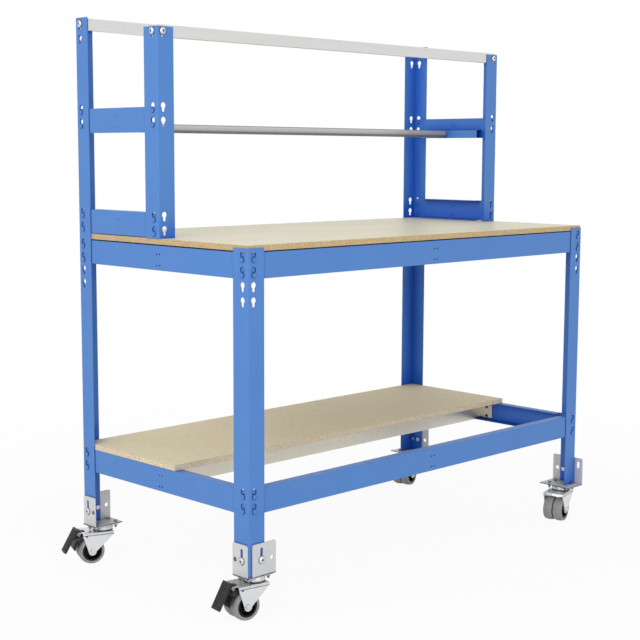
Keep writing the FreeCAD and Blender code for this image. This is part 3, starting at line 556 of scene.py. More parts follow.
@dataclass(frozen=True)
class RawChipboard:
    """Raw pressed chipboard, with pale and brown flakes, and a top paled as painted light."""

    name: str = "raw_chipboard"
    pale: Colour = (0.840, 0.720, 0.530)
    middle: Colour = (0.700, 0.570, 0.385)
    brown: Colour = (0.300, 0.210, 0.120)
    # pressed: pale colour laid on up-facing faces as painted light
    pressed: Colour = (0.960, 0.890, 0.610)
    painted_top_light_share: float = 0.55
    flakes: Pattern = Pattern(170.0, stretch=(0.55, 1.0, 2.2))
    dots: Pattern = Pattern(420.0, stretch=(1.0, 0.6, 1.6))
    dot_share: float = 0.65
    dot_span: Point2 = (0.72, 1.0)
    clouds: Pattern = Pattern(9.0, 4.0)
    cloud_share: float = 0.35
    cloud_span: Point2 = (0.35, 0.75)
    rim_reach: float = 2.0 * MM
    rim_share: float = 0.45
    fibres: Pattern = Pattern(700.0, 3.0)
    roughness: Point2 = (0.62, 0.86)
    grain: Grain = Grain(0.22, 0.35 * MM, 1.0 * MM)

    def material(self) -> Material:
        """Build the finish.

        Returns:
            The new material.
        """
        graph = Graph(self.name)
        flakes = graph.cells(self.flakes)
        dots = graph.ranged(graph.cells(self.dots), 0.0, self.dot_share, self.dot_span)
        clouds = graph.ranged(graph.noise(self.clouds), 0.0, self.cloud_share, self.cloud_span)
        colour = graph.mix(flakes, self.pale, self.middle)
        colour = graph.mix(dots, colour, self.brown)
        colour = graph.mix(clouds, colour, self.middle)
        # Painted light: up-facing faces paled toward the pressed colour.
        top = graph.product(graph.facing(Face.TOP), self.painted_top_light_share)
        colour = graph.mix(top, colour, self.pressed)
        rims = graph.ranged(graph.edges(self.rim_reach), 0.0, self.rim_share)
        return graph.surface({
            "Base Color": graph.mix(rims, colour, self.brown),
            "Roughness": graph.ranged(flakes, *self.roughness),
            "Normal": graph.relief(graph.sum(flakes, graph.noise(self.fibres)), self.grain),
        })


@dataclass(frozen=True)
class TyreRubber:
    """Grey non-marking tyre rubber, scuffed on its tread."""

    name: str = "grey_tyre_rubber"
    body: Colour = (0.275, 0.271, 0.260)
    scuff: Colour = (0.410, 0.404, 0.386)
    hollow_dark: Colour = (0.030, 0.030, 0.030)
    hollow_darkening: Hollow = Hollow(6 * MM, 0.8, (0.2, 0.8))
    clouds: Pattern = Pattern(110.0, 4.0)
    scuff_share: float = 0.7
    scuff_span: Point2 = (0.4, 0.8)
    roughness: Point2 = (0.50, 0.72)
    pores: Pattern = Pattern(1500.0)
    grain: Grain = Grain(0.25, 0.15 * MM, 0.8 * MM)

    def material(self) -> Material:
        """Build the finish.

        Returns:
            The new material.
        """
        graph = Graph(self.name)
        clouds = graph.noise(self.clouds)
        scuffs = graph.ranged(clouds, 0.0, self.scuff_share, self.scuff_span)
        colour = graph.mix(scuffs, self.body, self.scuff)
        return graph.surface({
            # Darker in hollows, by ambient occlusion.
            "Base Color": graph.mix(graph.sheltered(self.hollow_darkening), colour, self.hollow_dark),
            "Roughness": graph.ranged(clouds, *self.roughness),
            "Normal": graph.relief(graph.noise(self.pores), self.grain),
        })


@dataclass(frozen=True)
class MouldedPlastic:
    """Black moulded plastic with a spark-eroded grain, and painted shade in its hollows."""

    name: str = "black_moulded_plastic"
    body: Colour = (0.007, 0.007, 0.008)
    speck: Colour = (0.016, 0.016, 0.017)
    rubbed: Colour = (0.070, 0.070, 0.073)
    groove: Colour = (0.003, 0.003, 0.003)
    plastic_hollow_shade: Hollow = Hollow(4 * MM, 0.9, (0.55, 0.92))
    wear_and_edge_shading: WearAndEdgeShading = WearAndEdgeShading(1.6 * MM, 120.0, (0.2, 0.9))
    gloss: Pattern = Pattern(80.0)
    roughness: Point2 = (0.38, 0.56)
    sheen: float = 0.30
    specks: Pattern = Pattern(1100.0, 3.0)
    grain: Grain = Grain(0.30, 0.20 * MM, 1.0 * MM)

    def material(self) -> Material:
        """Build the finish.

        Returns:
            The new material.
        """
        graph = Graph(self.name)
        specks = graph.noise(self.specks)
        colour = graph.mix(specks, self.body, self.speck)
        # Painted shade: near black in hollows, by ambient occlusion.
        colour = graph.mix(graph.sheltered(self.plastic_hollow_shade), colour, self.groove)
        return graph.surface({
            "Base Color": graph.mix(graph.worn_and_shaded_edges(self.wear_and_edge_shading), colour, self.rubbed),
            "Roughness": graph.ranged(graph.noise(self.gloss), *self.roughness),
            "Specular IOR Level": self.sheen,
            "Normal": graph.relief(specks, self.grain),
        })


@dataclass(frozen=True)
class FloorSheet:
    """White studio floor that keeps a soft shadow of the object, and fades out round it."""

    name: str = "studio_floor"
    colour: Colour = (0.92, 0.92, 0.92)
    lift: float = 0.92
    fade: Point2 = (1.1, 3.2)

    def material(self) -> Material:
        """Build the finish.

        Returns:
            The new material.
        """
        graph = Graph(self.name)
        matt = graph.add("BsdfDiffuse", {"Color": self.colour}).outputs[0]
        glow = graph.add("Emission", {"Color": WHITE, "Strength": 1.0}).outputs[0]
        away = graph.add("VectorMath", {0: graph.place()}, operation="LENGTH").outputs["Value"]
        share = graph.product(graph.seen(), graph.ranged(away, self.lift, 1.0, self.fade))
        return graph.close(graph.blend(share, matt, glow))


def made_of(finish: Finish) -> Any:
    """Field that holds the material of a finish."""
    return field(default_factory=finish.material)


@dataclass
class Finishes:
    """One material of each finish, shared by the whole table."""

    paint: Material = made_of(PowderCoat())
    warm_sheet: Material = made_of(GalvanisedSheet(
        name="warm_galvanised_sheet", bright=(0.770, 0.730, 0.615), dull=(0.610, 0.580, 0.490)))
    # Dark rim: painted shade lines along the top bars' edges.
    bright_sheet: Material = made_of(GalvanisedSheet(
        name="bright_galvanised_sheet", bright=(0.745, 0.750, 0.730), dull=(0.640, 0.645, 0.628),
        rim=(0.420, 0.425, 0.415), rim_reach=1.6 * MM))
    # Near-black edge colour: painted shadow outlines round the rivet heads.
    rivet_paint: Material = made_of(PowderCoat(
        name="blue_rivet_coat", edge=(0.003, 0.020, 0.095),
        wear_and_edge_shading=WearAndEdgeShading(2.4 * MM, 90.0, (0.15, 0.75)), grain=Grain(0.10, 0.4 * MM, 2.4 * MM)))
    zinc: Material = made_of(ZincPlate())
    # Dark band under the fork's beads: painted shadow line.
    fork_zinc: Material = made_of(ZincPlate(
        name="fork_zinc", bright=(0.790, 0.800, 0.810), dull=(0.590, 0.605, 0.625),
        fold_shadow=(0.110, 0.112, 0.118), fold=(89.5 * MM, 91.7 * MM)))
    # Dark band along the bracket's lower fold: painted shadow.
    bracket_zinc: Material = made_of(ZincPlate(
        name="bracket_zinc", bright=(0.700, 0.704, 0.708), dull=(0.570, 0.574, 0.578),
        metallic=0.40, roughness=(0.41, 0.58), fold=(115.9 * MM, 120.2 * MM)))
    dark_zinc: Material = made_of(ZincPlate(
        name="dark_zinc", bright=(0.300, 0.300, 0.305), dull=(0.150, 0.150, 0.155),
        roughness=(0.31, 0.48)))
    laminate: Material = made_of(FacedBoard())
    chipboard: Material = made_of(RawChipboard())
    rubber: Material = made_of(TyreRubber())
    plastic: Material = made_of(MouldedPlastic())
    pedal: Material = made_of(MouldedPlastic(
        name="black_pedal_plastic", body=(0.016, 0.016, 0.017), speck=(0.042, 0.042, 0.043),
        rubbed=(0.150, 0.150, 0.153)))
    hub: Material = made_of(MouldedPlastic(
        name="black_hub_plastic", body=(0.004, 0.004, 0.004), speck=(0.008, 0.008, 0.008),
        rubbed=(0.030, 0.030, 0.031), sheen=0.22))
    black_steel_and_shade: Material = made_of(MouldedPlastic(
        name="black_steel_and_painted_shade", body=(0.010, 0.011, 0.016), speck=(0.018, 0.019, 0.026),
        rubbed=(0.060, 0.062, 0.070)))


def dress(node: str, finish: Material) -> None:
    """Give a solid of the frame its finish.

    Args:
        node: name of the solid.
        finish: the material.
    """
    target = frame["nodes"][node]
    if not target.data.materials:
        target.data.materials.append(finish)
    for index in range(len(target.data.materials)):
        target.data.materials[index] = finish
    log.info("dressed %s in %s", node, finish.name)


def placed(name: str, data: Any) -> bpy.types.Object:
    """Put a mesh, lamp or camera into the scene.

    Args:
        name: name of the object.
        data: what it shows.

    Returns:
        The new object.
    """
    made = bpy.data.objects.new(name, data)
    bpy.context.scene.collection.objects.link(made)
    return made


def spoke(angle: float, reach: float) -> Vector:
    """Flat vector at an angle in radians."""
    return Vector((reach * math.cos(angle), reach * math.sin(angle)))


def hexagon(across_flats: float, turn: float = 0.0) -> list[Point2]:
    """Corners of a hexagon, the first of them at an angle in radians."""
    reach = across_flats / math.sqrt(3)
    return [tuple(spoke(turn + step * math.pi / 3, reach)) for step in range(6)]


def section(corners: Sequence[Point2], radius: float = 0.0) -> list[Point2]:
    """Half section in metres, from corners in millimetres out from a radius and up."""
    return [(radius + out * MM, up * MM) for out, up in corners]


def lifted(height: float) -> Matrix:
    """Matrix that moves a shape along its own Z axis."""
    return Matrix.Translation((0, 0, height))


def basis(*columns: Sequence[float]) -> Matrix:
    """Matrix whose columns are three axes and an origin."""
    return Matrix([*zip(*columns), (0, 0, 0, 1)])


class Mesh:
    """A mesh put together from turned and pressed shapes."""

    bevelled_from: float = math.radians(25)
    bevel_segments: int = 2
    bevel_profile: float = 0.6
    smooth_to: float = math.radians(35)

    def __init__(self) -> None:
        """Start with no faces."""
        self.form = bmesh.new()

    def turn(
        self, outline: Sequence[Point2], place: Matrix, steps: int = 24, ring: bool = False
    ) -> None:
        """Turn an outline about the local Z axis.

        Args:
            outline: radius and height of each corner, in metres, from end to end.
            place: where the turned shape goes.
            steps: sides of the circle.
            ring: whether the outline runs back to its first corner.
        """
        circles = []
        for radius, height in outline:
            if not radius:
                circles.append([self.form.verts.new(place @ Vector((0, 0, height)))] * steps)
                continue
            spokes = [spoke(2 * math.pi * step / steps, radius) for step in range(steps)]
            spots = [place @ Vector((*flat, height)) for flat in spokes]
            circles.append([self.form.verts.new(spot) for spot in spots])
        for low, high in zip(circles, circles[1:] + circles[:1] if ring else circles[1:]):
            for step in range(steps):
                after = (step + 1) % steps
                corners = dict.fromkeys((low[step], low[after], high[after], high[step]))
                if len(corners) > 2:
                    self.form.faces.new(list(corners))

    def press(
        self, outline: Sequence[Point2], depth: float, place: Matrix, soften: float = 0.0
    ) -> None:
        """Press a flat outline out along the local Z axis.

        Args:
            outline: corners in the local XY plane, in metres.
            depth: how far it goes.
            place: where the pressed shape goes.
            soften: width of the bevel on its edges.
        """
        part = bmesh.new()
        low = [part.verts.new((x, y, 0.0)) for x, y in outline]
        high = [part.verts.new((x, y, depth)) for x, y in outline]
        part.faces.new(list(reversed(low)))
        part.faces.new(high)
        for index in range(len(outline)):
            after = (index + 1) % len(outline)
            part.faces.new((low[index], low[after], high[after], high[index]))
        bmesh.ops.recalc_face_normals(part, faces=part.faces)
        if soften:
            sharp = [edge for edge in part.edges if edge.calc_face_angle(0.0) > self.bevelled_from]
            bmesh.ops.bevel(part, geom=sharp, offset=soften, segments=self.bevel_segments,
                            profile=self.bevel_profile, affect="EDGES")
        bmesh.ops.transform(part, matrix=place, verts=part.verts)
        taken = bpy.data.meshes.new("pressed")
        part.to_mesh(taken)
        part.free()
        self.form.from_mesh(taken)
        bpy.data.meshes.remove(taken)

    def piece(self, name: str, finish: Material, slot: Slot, body: str) -> None:
        """Finish the mesh as a piece of the table.

        Args:
            name: name of the piece.
            finish: its material.
            slot: slot of the record; not used.
            body: body that carries it.
        """
        bmesh.ops.recalc_face_normals(self.form, faces=self.form.faces)
        for face in self.form.faces:
            face.smooth = True
        data = bpy.data.meshes.new(name)
        self.form.to_mesh(data)
        self.form.free()
        data.set_sharp_from_angle(angle=self.smooth_to)
        data.materials.append(finish)
        made = placed(name, data)
        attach(made, body)
        log.info("made %s on %s", name, body)


@dataclass
class SteelFrame:
    """Corner angles and beams of the frame, in blue.

    The sizes of the studs are in millimetres, and their heights go inward from the web's face.
    """

    finishes: Finishes
    endings: tuple[str, ...] = ("_leg", "_upright", "_post", "_beam")
    stud_radius: float = 2.4
    stud_head: Section = ((2.4, 1.5), (3.6, 1.5), (3.6, 2.7), (0.0, 2.7))
    stud_sides: int = 12
    stud_recess: float = 0.5
    flush_recess: float = 0.05

    def build(self) -> None:
        """Dress every angle, beam and rivet, and fill the small holes of the beams: dark studs as
        painted shade in the base and worktop beams, painted ones in the upstand.
        """
        for node in sorted(frame["nodes"]):
            if node.endswith(self.endings):
                dress(node, self.finishes.paint)
            elif node.endswith("_rivets"):
                dress(node, self.finishes.rivet_paint)
        for level in ("base", "worktop"):
            beams = [f"{level}_{side}_beam" for side in ("front", "right", "rear", "left")]
            # Dark studs in these hole pairs stand in for the shade inside the holes: painted shade.
            studs = self.studs(beams, self.stud_recess)
            studs.piece(f"{level}_beam_studs", self.finishes.black_steel_and_shade, Slot.PLASTIC, "frame")
        beams = [f"upstand_{row}_{side}_beam"
                 for row in ("low", "step") for side in ("left", "right")]
        studs = self.studs(beams, self.flush_recess)
        studs.piece("upstand_beam_studs", self.finishes.paint, Slot.PAINT, "frame")

    def studs(self, beams: Sequence[str], recess: float) -> Mesh:
        """Blind studs in the hole pairs at the middle of the beams.

        Args:
            beams: names of the beams.
            recess: how far the studs end behind the web's face.

        Returns:
            The mesh of the studs.
        """
        mesh = Mesh()
        stud = section([(0.0, recess), (self.stud_radius, recess), *self.stud_head])
        for beam in beams:
            low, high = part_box(beam)
            face = (low + high) / 2
            outward = self.outward(beam)
            axis = 0 if outward.x else 1
            face[axis] = high[axis] if outward[axis] > 0 else low[axis]
            inward = outward.to_track_quat("-Z", "Y").to_matrix().to_4x4()
            side = Vector((outward.y, outward.x, 0.0))
            for row in HOLE_ROWS:
                for offset in (-HOLE_OFFSET, HOLE_OFFSET):
                    spot = face + side * offset
                    spot.z = low.z + row
                    mesh.turn(stud, Matrix.Translation(spot) @ inward, self.stud_sides)
        return mesh

    def outward(self, beam: str) -> Vector:
        """Direction in which a beam's web looks out of the frame."""
        ways = {"front": (0, -1, 0), "rear": (0, 1, 0), "left": (-1, 0, 0), "right": (1, 0, 0)}
        return Vector(next(way for side, way in ways.items() if f"_{side}_" in beam))


@dataclass
class Boards:
    """Worktop and lower shelf."""

    finishes: Finishes

    def build(self) -> None:
        """Dress both boards."""
        dress("worktop_board", self.finishes.laminate)
        dress("base_shelf", self.finishes.chipboard)


@dataclass
class SheetSections:
    """Galvanised cross channels, step rail and top bars, with their screws.

    The washer's section is in millimetres.
    """

    finishes: Finishes
    washer: Section = ((0.0, 0.0), (5.4, 0.0), (5.4, 0.6), (4.32, 1.0), (0.0, 1.0))
    screw_seat: float = 0.9 * MM
    screw_flats: float = 7 * MM
    screw_height: float = 2.8 * MM
    screw_bevel: float = 0.4 * MM
    screw_turns: Point2 = (0.56, 1.84)
    tab_sheet: float = 2 * MM

    def build(self) -> None:
        """Dress the sections and add the screws of the end tabs."""
        low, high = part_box("step_rail")
        dress("step_rail", RolledSection(low.z, high.z).material())
        for side in ("front", "rear", "left", "right"):
            dress(f"top_{side}_bar", self.finishes.bright_sheet)
        for level in ("base", "worktop"):
            dress(f"{level}_channel", self.finishes.warm_sheet)
            self.screws(level)

    def screws(self, level: str) -> None:
        """Hexagon screws that hold a channel's tabs on the side beams.

        Args:
            level: base or worktop.
        """
        mesh = Mesh()
        low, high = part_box(f"{level}_channel")
        beam_low, beam_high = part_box(f"{level}_left_beam")
        hole = (beam_low.y + beam_high.y) / 2 + HOLE_OFFSET
        for end, inward in ((low.x, 1), (high.x, -1)):
            for row, turn in zip(HOLE_ROWS, self.screw_turns):
                seat = Vector((end + inward * self.tab_sheet, hole, beam_low.z + row))
                place = Matrix.Translation(seat) @ Matrix.Rotation(inward * math.pi / 2, 4, "Y")
                mesh.turn(section(self.washer), place)
                mesh.press(hexagon(self.screw_flats, turn), self.screw_height,
                           place @ lifted(self.screw_seat), self.screw_bevel)
        mesh.piece(f"{level}_channel_screws", self.finishes.black_steel_and_shade, Slot.PLASTIC, "frame")


@dataclass
class CrownedBolts:
    """Bolts with crowned heads, each with a dark ring under its rim and a dark hexagon on its
    crown, painted shade that stands for the rim's shadow line and a hexagon socket.

    The shade ring's section is in millimetres from the top of the crown.
    """

    node: str
    finishes: Finishes
    rim_radius: float = 10 * MM
    shade_ring: Section = ((8.7, -4.8), (11.3, -4.8), (11.3, -4.35), (10.85, -3.9), (8.7, -3.9))
    socket_shade_flats: float = 6 * MM
    socket_shade_rise: float = 0.15 * MM
    socket_shade_depth: float = 1.2 * MM
    weld: float = 0.01 * MM

    def build(self) -> None:
        """Dress the bolts and add their dark rings and hexagons of painted shade."""
        dress(self.node, self.finishes.zinc)
        mesh = Mesh()
        for crown, outward in self.heads():
            look = outward.to_track_quat("Z", "Y").to_matrix().to_4x4()
            place = Matrix.Translation(crown) @ look
            # Dark ring under the rim and dark hexagon on the crown: painted shade.
            mesh.turn(section(self.shade_ring), place, ring=True)
            socket = place @ lifted(self.socket_shade_rise - self.socket_shade_depth)
            mesh.press(hexagon(self.socket_shade_flats), self.socket_shade_depth, socket)
        mesh.piece(f"{self.node}_shade_marks", self.finishes.black_steel_and_shade, Slot.PLASTIC, "frame")

    def heads(self) -> list[tuple[Vector, Vector]]:
        """Find the heads.

        Returns:
            For each bolt the top of its crown and the way that it looks.
        """
        solid = frame["nodes"][self.node]
        form = bmesh.new()
        form.from_mesh(solid.data)
        bmesh.ops.transform(form, matrix=solid.matrix_world, verts=form.verts)
        bmesh.ops.remove_doubles(form, verts=form.verts, dist=self.weld)
        found = []
        waiting = set(form.verts)
        for first in form.verts:
            if first not in waiting:
                continue
            waiting.remove(first)
            bolt = [first]
            for vert in bolt:
                for edge in vert.link_edges:
                    other = edge.other_vert(vert)
                    if other in waiting:
                        waiting.remove(other)
                        bolt.append(other)
            found.append(self.head([vert.co for vert in bolt]))
        form.free()
        return found

    def head(self, spots: Sequence[Vector]) -> tuple[Vector, Vector]:
        """Top of a bolt's crown and the way that it looks.

        Args:
            spots: corners of the bolt's solid.

        Returns:
            The two vectors.
        """
        low = Vector([min(spot[axis] for spot in spots) for axis in range(3)])
        high = Vector([max(spot[axis] for spot in spots) for axis in range(3)])
        crown = (low + high) / 2
        across = [abs(high[axis] - low[axis] - 2 * self.rim_radius) for axis in range(3)]
        along = across.index(max(across))
        others = [axis for axis in range(3) if axis != along]
        rim = max(spots, key=lambda spot: sum((spot[axis] - crown[axis]) ** 2 for axis in others))
        outward = Vector()
        outward[along] = math.copysign(1.0, rim[along] - crown[along])
        crown[along] = high[along] if outward[along] > 0 else low[along]
        return crown, outward


@dataclass
class Foot:
    """One foot without a brake: bracket, caster plate, fork and wheel.

    The sections of washer, thread and shade ring are in millimetres.
    """

    name: str
    finishes: Finishes
    bolts_along_x: bool
    bolt_long: float = 70 * MM
    bolt_short: float = 36 * MM
    bolt_flats: float = 10 * MM
    bolt_bevel: float = 0.5 * MM
    bolt_turn: float = 0.7
    head_height: float = 5.3 * MM
    nut_height: float = 6.5 * MM
    washer: Section = ((0.0, 0.0), (5.6, 0.0), (5.6, 1.15), (5.35, 1.4), (0.0, 1.4))
    washer_height: float = 1.4 * MM
    plate_sheet: float = 3 * MM
    thread_start: Section = ((0.0, 0.0), (3.0, 0.0))
    thread_turn: Section = ((3.0, 0.375), (2.4, 0.9375))
    thread_end: Section = ((2.2, 5.0), (0.0, 5.0))
    thread_pitch: float = 1.25
    thread_turns: int = 4
    thread_sides: int = 16
    thread_sink: float = 0.2 * MM
    race_drop: float = 3 * MM
    shade_ring: Section = ((0.0, 0.2), (1.8, 0.2), (2.2, 0.8), (2.2, 1.8), (1.6, 2.6), (0.0, 2.7))
    shade_ring_radius: float = 28.35 * MM
    shade_ring_sides: int = 48
    bead_radius: float = 1.5 * MM
    bead_height: float = 92.9 * MM
    bead_ends: Point2 = (-69.2 * MM, 25.2 * MM)
    bead_steps: int = 8
    cheek_offset: float = 36 * MM

    def build(self) -> None:
        """Dress the solids of the foot and add its small pieces."""
        coats = {"bracket": self.finishes.bracket_zinc, "caster_plate": self.finishes.zinc,
                 "axle": self.finishes.zinc, "fork": self.finishes.fork_zinc,
                 "hub": self.finishes.hub, "tyres": self.finishes.rubber}
        for part, finish in coats.items():
            dress(f"{self.name}_{part}", finish)
        self.plate_bolts()
        self.race_shade_ring()
        self.fork_beads()

    def joint(self, role: str) -> Mapping[str, Any]:
        """The record's joint of this foot with that role."""
        name = f"{self.name}_{role}"
        return next(entry for entry in frame["joints"] if entry["name"] == name)

    def swivel_place(self) -> Matrix:
        """Find the frame of the fork.

        Returns:
            Its matrix: origin on the floor under the king pin, X ahead, Y along the axle.
        """
        pin = self.joint("swivel_turn")["pos_m"]
        along = self.joint("wheel_roll")["axis"]
        turn = math.atan2(-along[0], along[1])
        return Matrix.Translation((pin[0], pin[1], 0.0)) @ Matrix.Rotation(turn, 4, "Z")

    def plate_bolts(self) -> None:
        """Bolts through bracket and plate: head above, washer, nut and thread end below."""
        mesh = Mesh()
        pin = self.joint("swivel_turn")["pos_m"]
        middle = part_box(f"{self.name}_bracket")[0].z
        halves = (self.bolt_long / 2, self.bolt_short / 2)
        if not self.bolts_along_x:
            halves = (halves[1], halves[0])
        downward = Matrix.Rotation(math.pi, 4, "X")
        for index, (right, back) in enumerate(((-1, -1), (1, -1), (1, 1), (-1, 1))):
            centre = Matrix.Translation(
                (pin[0] + right * halves[0], pin[1] + back * halves[1], middle))
            turn = self.bolt_turn * index
            mesh.press(hexagon(self.bolt_flats, turn), self.head_height,
                       centre @ lifted(self.plate_sheet), self.bolt_bevel)
            under = centre @ lifted(-self.plate_sheet) @ downward
            mesh.turn(section(self.washer), under)
            nut = under @ lifted(self.washer_height)
            mesh.press(hexagon(self.bolt_flats, -turn), self.nut_height, nut, self.bolt_bevel)
            end = nut @ lifted(self.nut_height - self.thread_sink)
            mesh.turn(self.thread(), end, self.thread_sides)
        mesh.piece(f"{self.name}_plate_bolts", self.finishes.dark_zinc, Slot.ZINC, "frame")

    def thread(self) -> list[Point2]:
        """Half section of a bolt's thread end.

        Returns:
            Its corners, in metres.
        """
        turns = [(radius, height + turn * self.thread_pitch)
                 for turn in range(self.thread_turns) for radius, height in self.thread_turn]
        return section([*self.thread_start, *turns, *self.thread_end])

    def race_shade_ring(self) -> None:
        """Dark ring round the lower race, between fork and plate: painted shade for the shadow line
        there.
        """
        mesh = Mesh()
        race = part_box(f"{self.name}_fork")[1].z - self.race_drop
        mesh.turn(section(self.shade_ring, self.shade_ring_radius), self.swivel_place() @ lifted(race),
                  self.shade_ring_sides, ring=True)
        mesh.piece(f"{self.name}_race_shade_ring", self.finishes.plastic, Slot.PLASTIC,
                   f"{self.name}_swivel")

    def fork_beads(self) -> None:
        """Half-round beads along the top of the fork's cheeks."""
        mesh = Mesh()
        start, end = self.bead_ends
        half_round = [tuple(spoke(math.pi * (step / self.bead_steps - 0.5), self.bead_radius))
                      for step in range(self.bead_steps + 1)]
        for side in (-1, 1):
            along = basis((0, side, 0), (0, 0, 1), (1, 0, 0),
                          (start, side * self.cheek_offset, self.bead_height))
            mesh.press(half_round, end - start, self.swivel_place() @ along)
        mesh.piece(f"{self.name}_fork_beads", self.finishes.zinc, Slot.ZINC,
                   f"{self.name}_swivel")


@dataclass
class BrakedFoot(Foot):
    """A foot with a brake: pedal with ribs, curled fork crown and guard."""

    pedal_top: Point3 = (-88 * MM, 0.0, 110 * MM)
    pedal_foot: Point3 = (-126 * MM, 0.0, 40 * MM)
    rib_count: int = 4
    rib_pitch: float = 8 * MM
    rib_width: float = 4.2 * MM
    rib_crown: float = 3.15 * MM
    rib_height: float = 1.8 * MM
    rib_margin: float = 5 * MM
    rib_sink: float = 0.3 * MM
    rib_bevel: float = 0.35 * MM
    strip_bevel: float = 0.3 * MM
    curl_sheet: float = 1.5 * MM
    curl_radius: float = 4.4 * MM
    curl_centre: Point2 = (-79.5 * MM, 93.5 * MM)
    curl_turn: float = math.radians(310)
    curl_steps: int = 20
    curl_root: float = -69.2 * MM
    curl_inner: float = 13.8 * MM
    curl_outer: float = 24.0 * MM
    guard_angles: Point2 = (math.radians(137), math.radians(174))
    guard_reach: Point2 = (46.8 * MM, 51.2 * MM)
    guard_steps: int = 14
    guard_sheet: float = 3.0 * MM
    guard_width: float = 54 * MM
    wheel_centre: Point2 = (-41 * MM, 40 * MM)

    def build(self) -> None:
        """Dress the solids of the foot and its brake, and add the small pieces."""
        super().build()
        dress(f"{self.name}_pedal", self.finishes.pedal)
        self.pedal_grip()
        self.fork_curls()
        self.brake_guard()

    def pedal_grip(self) -> None:
        """Lengthwise ribs on the face of the pedal."""
        mesh = Mesh()
        top, foot = Vector(self.pedal_top), Vector(self.pedal_foot)
        along = (foot - top).normalized()
        out = Vector((along.z, 0.0, -along.x))
        length = (foot - top).length - 2 * self.rib_margin
        wide, narrow = self.rib_width / 2, self.rib_crown / 2
        outline = [(-wide, 0.0), (wide, 0.0), (narrow, self.rib_height), (-narrow, self.rib_height)]
        for index in range(self.rib_count):
            across = Vector((0, (index - (self.rib_count - 1) / 2) * self.rib_pitch, 0))
            start = top + along * self.rib_margin + across - out * self.rib_sink
            place = basis(along.cross(out), out, along, start)
            mesh.press(outline, length, self.swivel_place() @ place, self.rib_bevel)
        mesh.piece(f"{self.name}_pedal_grip", self.finishes.pedal, Slot.PLASTIC,
                   f"{self.name}_brake")

    def strip(self, mesh: Mesh, outline: Sequence[Point2], near: float, width: float) -> None:
        """Press an outline in the fork's middle plane across the fork, from near over a width."""
        stand = basis((1, 0, 0), (0, 0, 1), (0, 1, 0), (0, near, 0))
        mesh.press(outline, width, self.swivel_place() @ stand, self.strip_bevel)

    def fork_curls(self) -> None:
        """Curled ends of the fork's crown, on both sides of the pedal's arm."""
        mesh = Mesh()
        centre = Vector(self.curl_centre)
        top = centre.y + self.curl_radius
        angles = [math.pi / 2 + self.curl_turn * step / self.curl_steps
                  for step in range(self.curl_steps + 1)]
        outer, inner = ([tuple(centre + spoke(angle, reach)) for angle in angles]
                        for reach in (self.curl_radius, self.curl_radius - self.curl_sheet))
        outline = [(self.curl_root, top), *outer, *reversed(inner),
                   (self.curl_root, top - self.curl_sheet)]
        for near in (-self.curl_outer, self.curl_inner):
            self.strip(mesh, outline, near, self.curl_outer - self.curl_inner)
        mesh.piece(f"{self.name}_fork_curls", self.finishes.zinc, Slot.ZINC,
                   f"{self.name}_swivel")

    def brake_guard(self) -> None:
        """Black guard that hangs from the brake shoe behind the tread."""
        mesh = Mesh()
        centre = Vector(self.wheel_centre)
        start, end = self.guard_angles
        near, far = self.guard_reach
        inner, outer = [], []
        for step in range(self.guard_steps + 1):
            share = step / self.guard_steps
            angle = start + share * (end - start)
            reach = near + math.sqrt(share) * (far - near)
            inner.append(tuple(centre + spoke(angle, reach)))
            outer.append(tuple(centre + spoke(angle, reach + self.guard_sheet)))
        self.strip(mesh, inner + outer[::-1], -self.guard_width / 2, self.guard_width)
        mesh.piece(f"{self.name}_brake_guard", self.finishes.plastic, Slot.PLASTIC,
                   f"{self.name}_brake")


@dataclass(frozen=True)
class SoftBox:
    """Square soft lamp."""

    name: str
    spot: Point3
    target: Point3
    side: float
    power: float

    def build(self) -> None:
        """Hang the lamp."""
        data = bpy.data.lights.new(self.name, "AREA")
        data.shape = "SQUARE"
        data.size = self.side
        data.energy = self.power
        made = placed(self.name, data)
        aim = Vector(self.target) - Vector(self.spot)
        made.location = self.spot
        made.rotation_euler = aim.to_track_quat("-Z", "Y").to_euler()


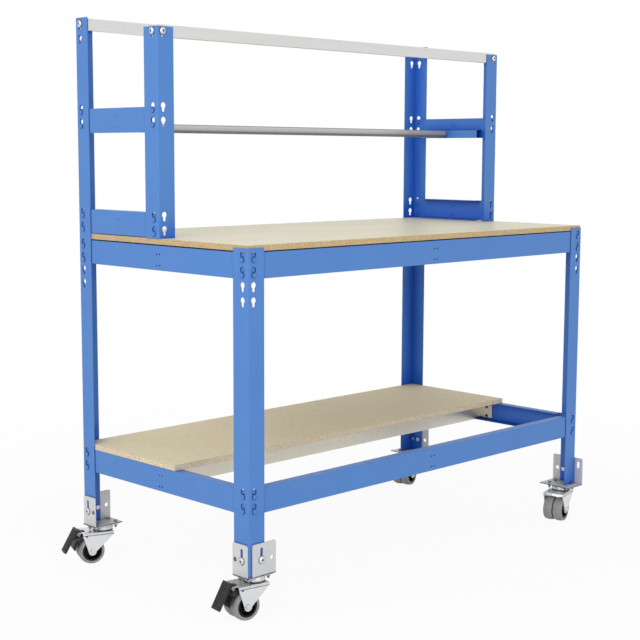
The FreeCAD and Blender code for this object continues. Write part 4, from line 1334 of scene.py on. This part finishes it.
@dataclass
class Studio:
    """Floor, light and camera."""

    eye: Point3 = (-3.02871, -2.96240, 1.24790)
    yaw: float = 0.7836
    pitch: float = -0.1242
    roll: float = 0.0040
    lens: float = 75.317
    sensor: float = 36.0
    sight: float = 100.0
    floor_reach: float = 30.0
    sky: float = 0.66
    lamps: tuple[SoftBox, ...] = (
        SoftBox("key", (-4.2, -1.6, 3.4), (0.0, 0.0, 0.8), 3.2, 90.0),
        SoftBox("fill", (-1.2, -5.0, 1.7), (0.0, 0.0, 0.7), 3.0, 38.0),
    )

    def build(self) -> None:
        """Set up floor, world, lamps and camera."""
        bpy.context.scene.view_settings.view_transform = "Standard"
        self.floor()
        self.world()
        for lamp in self.lamps:
            lamp.build()
        self.camera()

    def floor(self) -> None:
        """White floor under the casters."""
        data = bpy.data.meshes.new("studio_floor")
        corners = [(right * self.floor_reach, back * self.floor_reach, 0.0)
                   for right, back in ((-1, -1), (1, -1), (1, 1), (-1, 1))]
        data.from_pydata(corners, [], [(0, 1, 2, 3)])
        data.materials.append(FloorSheet().material())
        made = placed("studio_floor", data)

    def world(self) -> None:
        """Even light from all round, white where it is seen."""
        graph = Graph("studio", world=True)
        dim, white = (graph.add("Background", {"Color": WHITE, "Strength": strength}).outputs[0]
                      for strength in (self.sky, 1.0))
        bpy.context.scene.world = graph.close(graph.blend(graph.seen(), dim, white))

    def camera(self) -> None:
        """Camera at the photograph's angle."""
        place = Matrix.Translation(self.eye)
        for angle, axis in ((-self.yaw, "Z"), (math.pi / 2 + self.pitch, "X"), (self.roll, "Z")):
            place = place @ Matrix.Rotation(angle, 4, axis)
        data = bpy.data.cameras.new("camera")
        data.lens = self.lens
        data.sensor_width = self.sensor
        data.sensor_fit = "HORIZONTAL"
        data.clip_end = self.sight
        made = placed("camera", data)
        made.matrix_world = place
        bpy.context.scene.camera = made


def main() -> None:
    """Build the table's looks piece by piece."""
    logging.basicConfig(level=logging.INFO, format="%(name)s: %(message)s")
    finishes = Finishes()
    SteelFrame(finishes).build()
    Boards(finishes).build()
    SheetSections(finishes).build()
    for node in ("foot_bolts", "top_bar_bolts"):
        CrownedBolts(node, finishes).build()
    for side in ("front", "rear"):
        BrakedFoot(f"{side}_left", finishes, bolts_along_x=True).build()
    for side in ("front", "rear"):
        Foot(f"{side}_right", finishes, bolts_along_x=False).build()
    Studio().build()


if __name__ == "__main__":
    main()
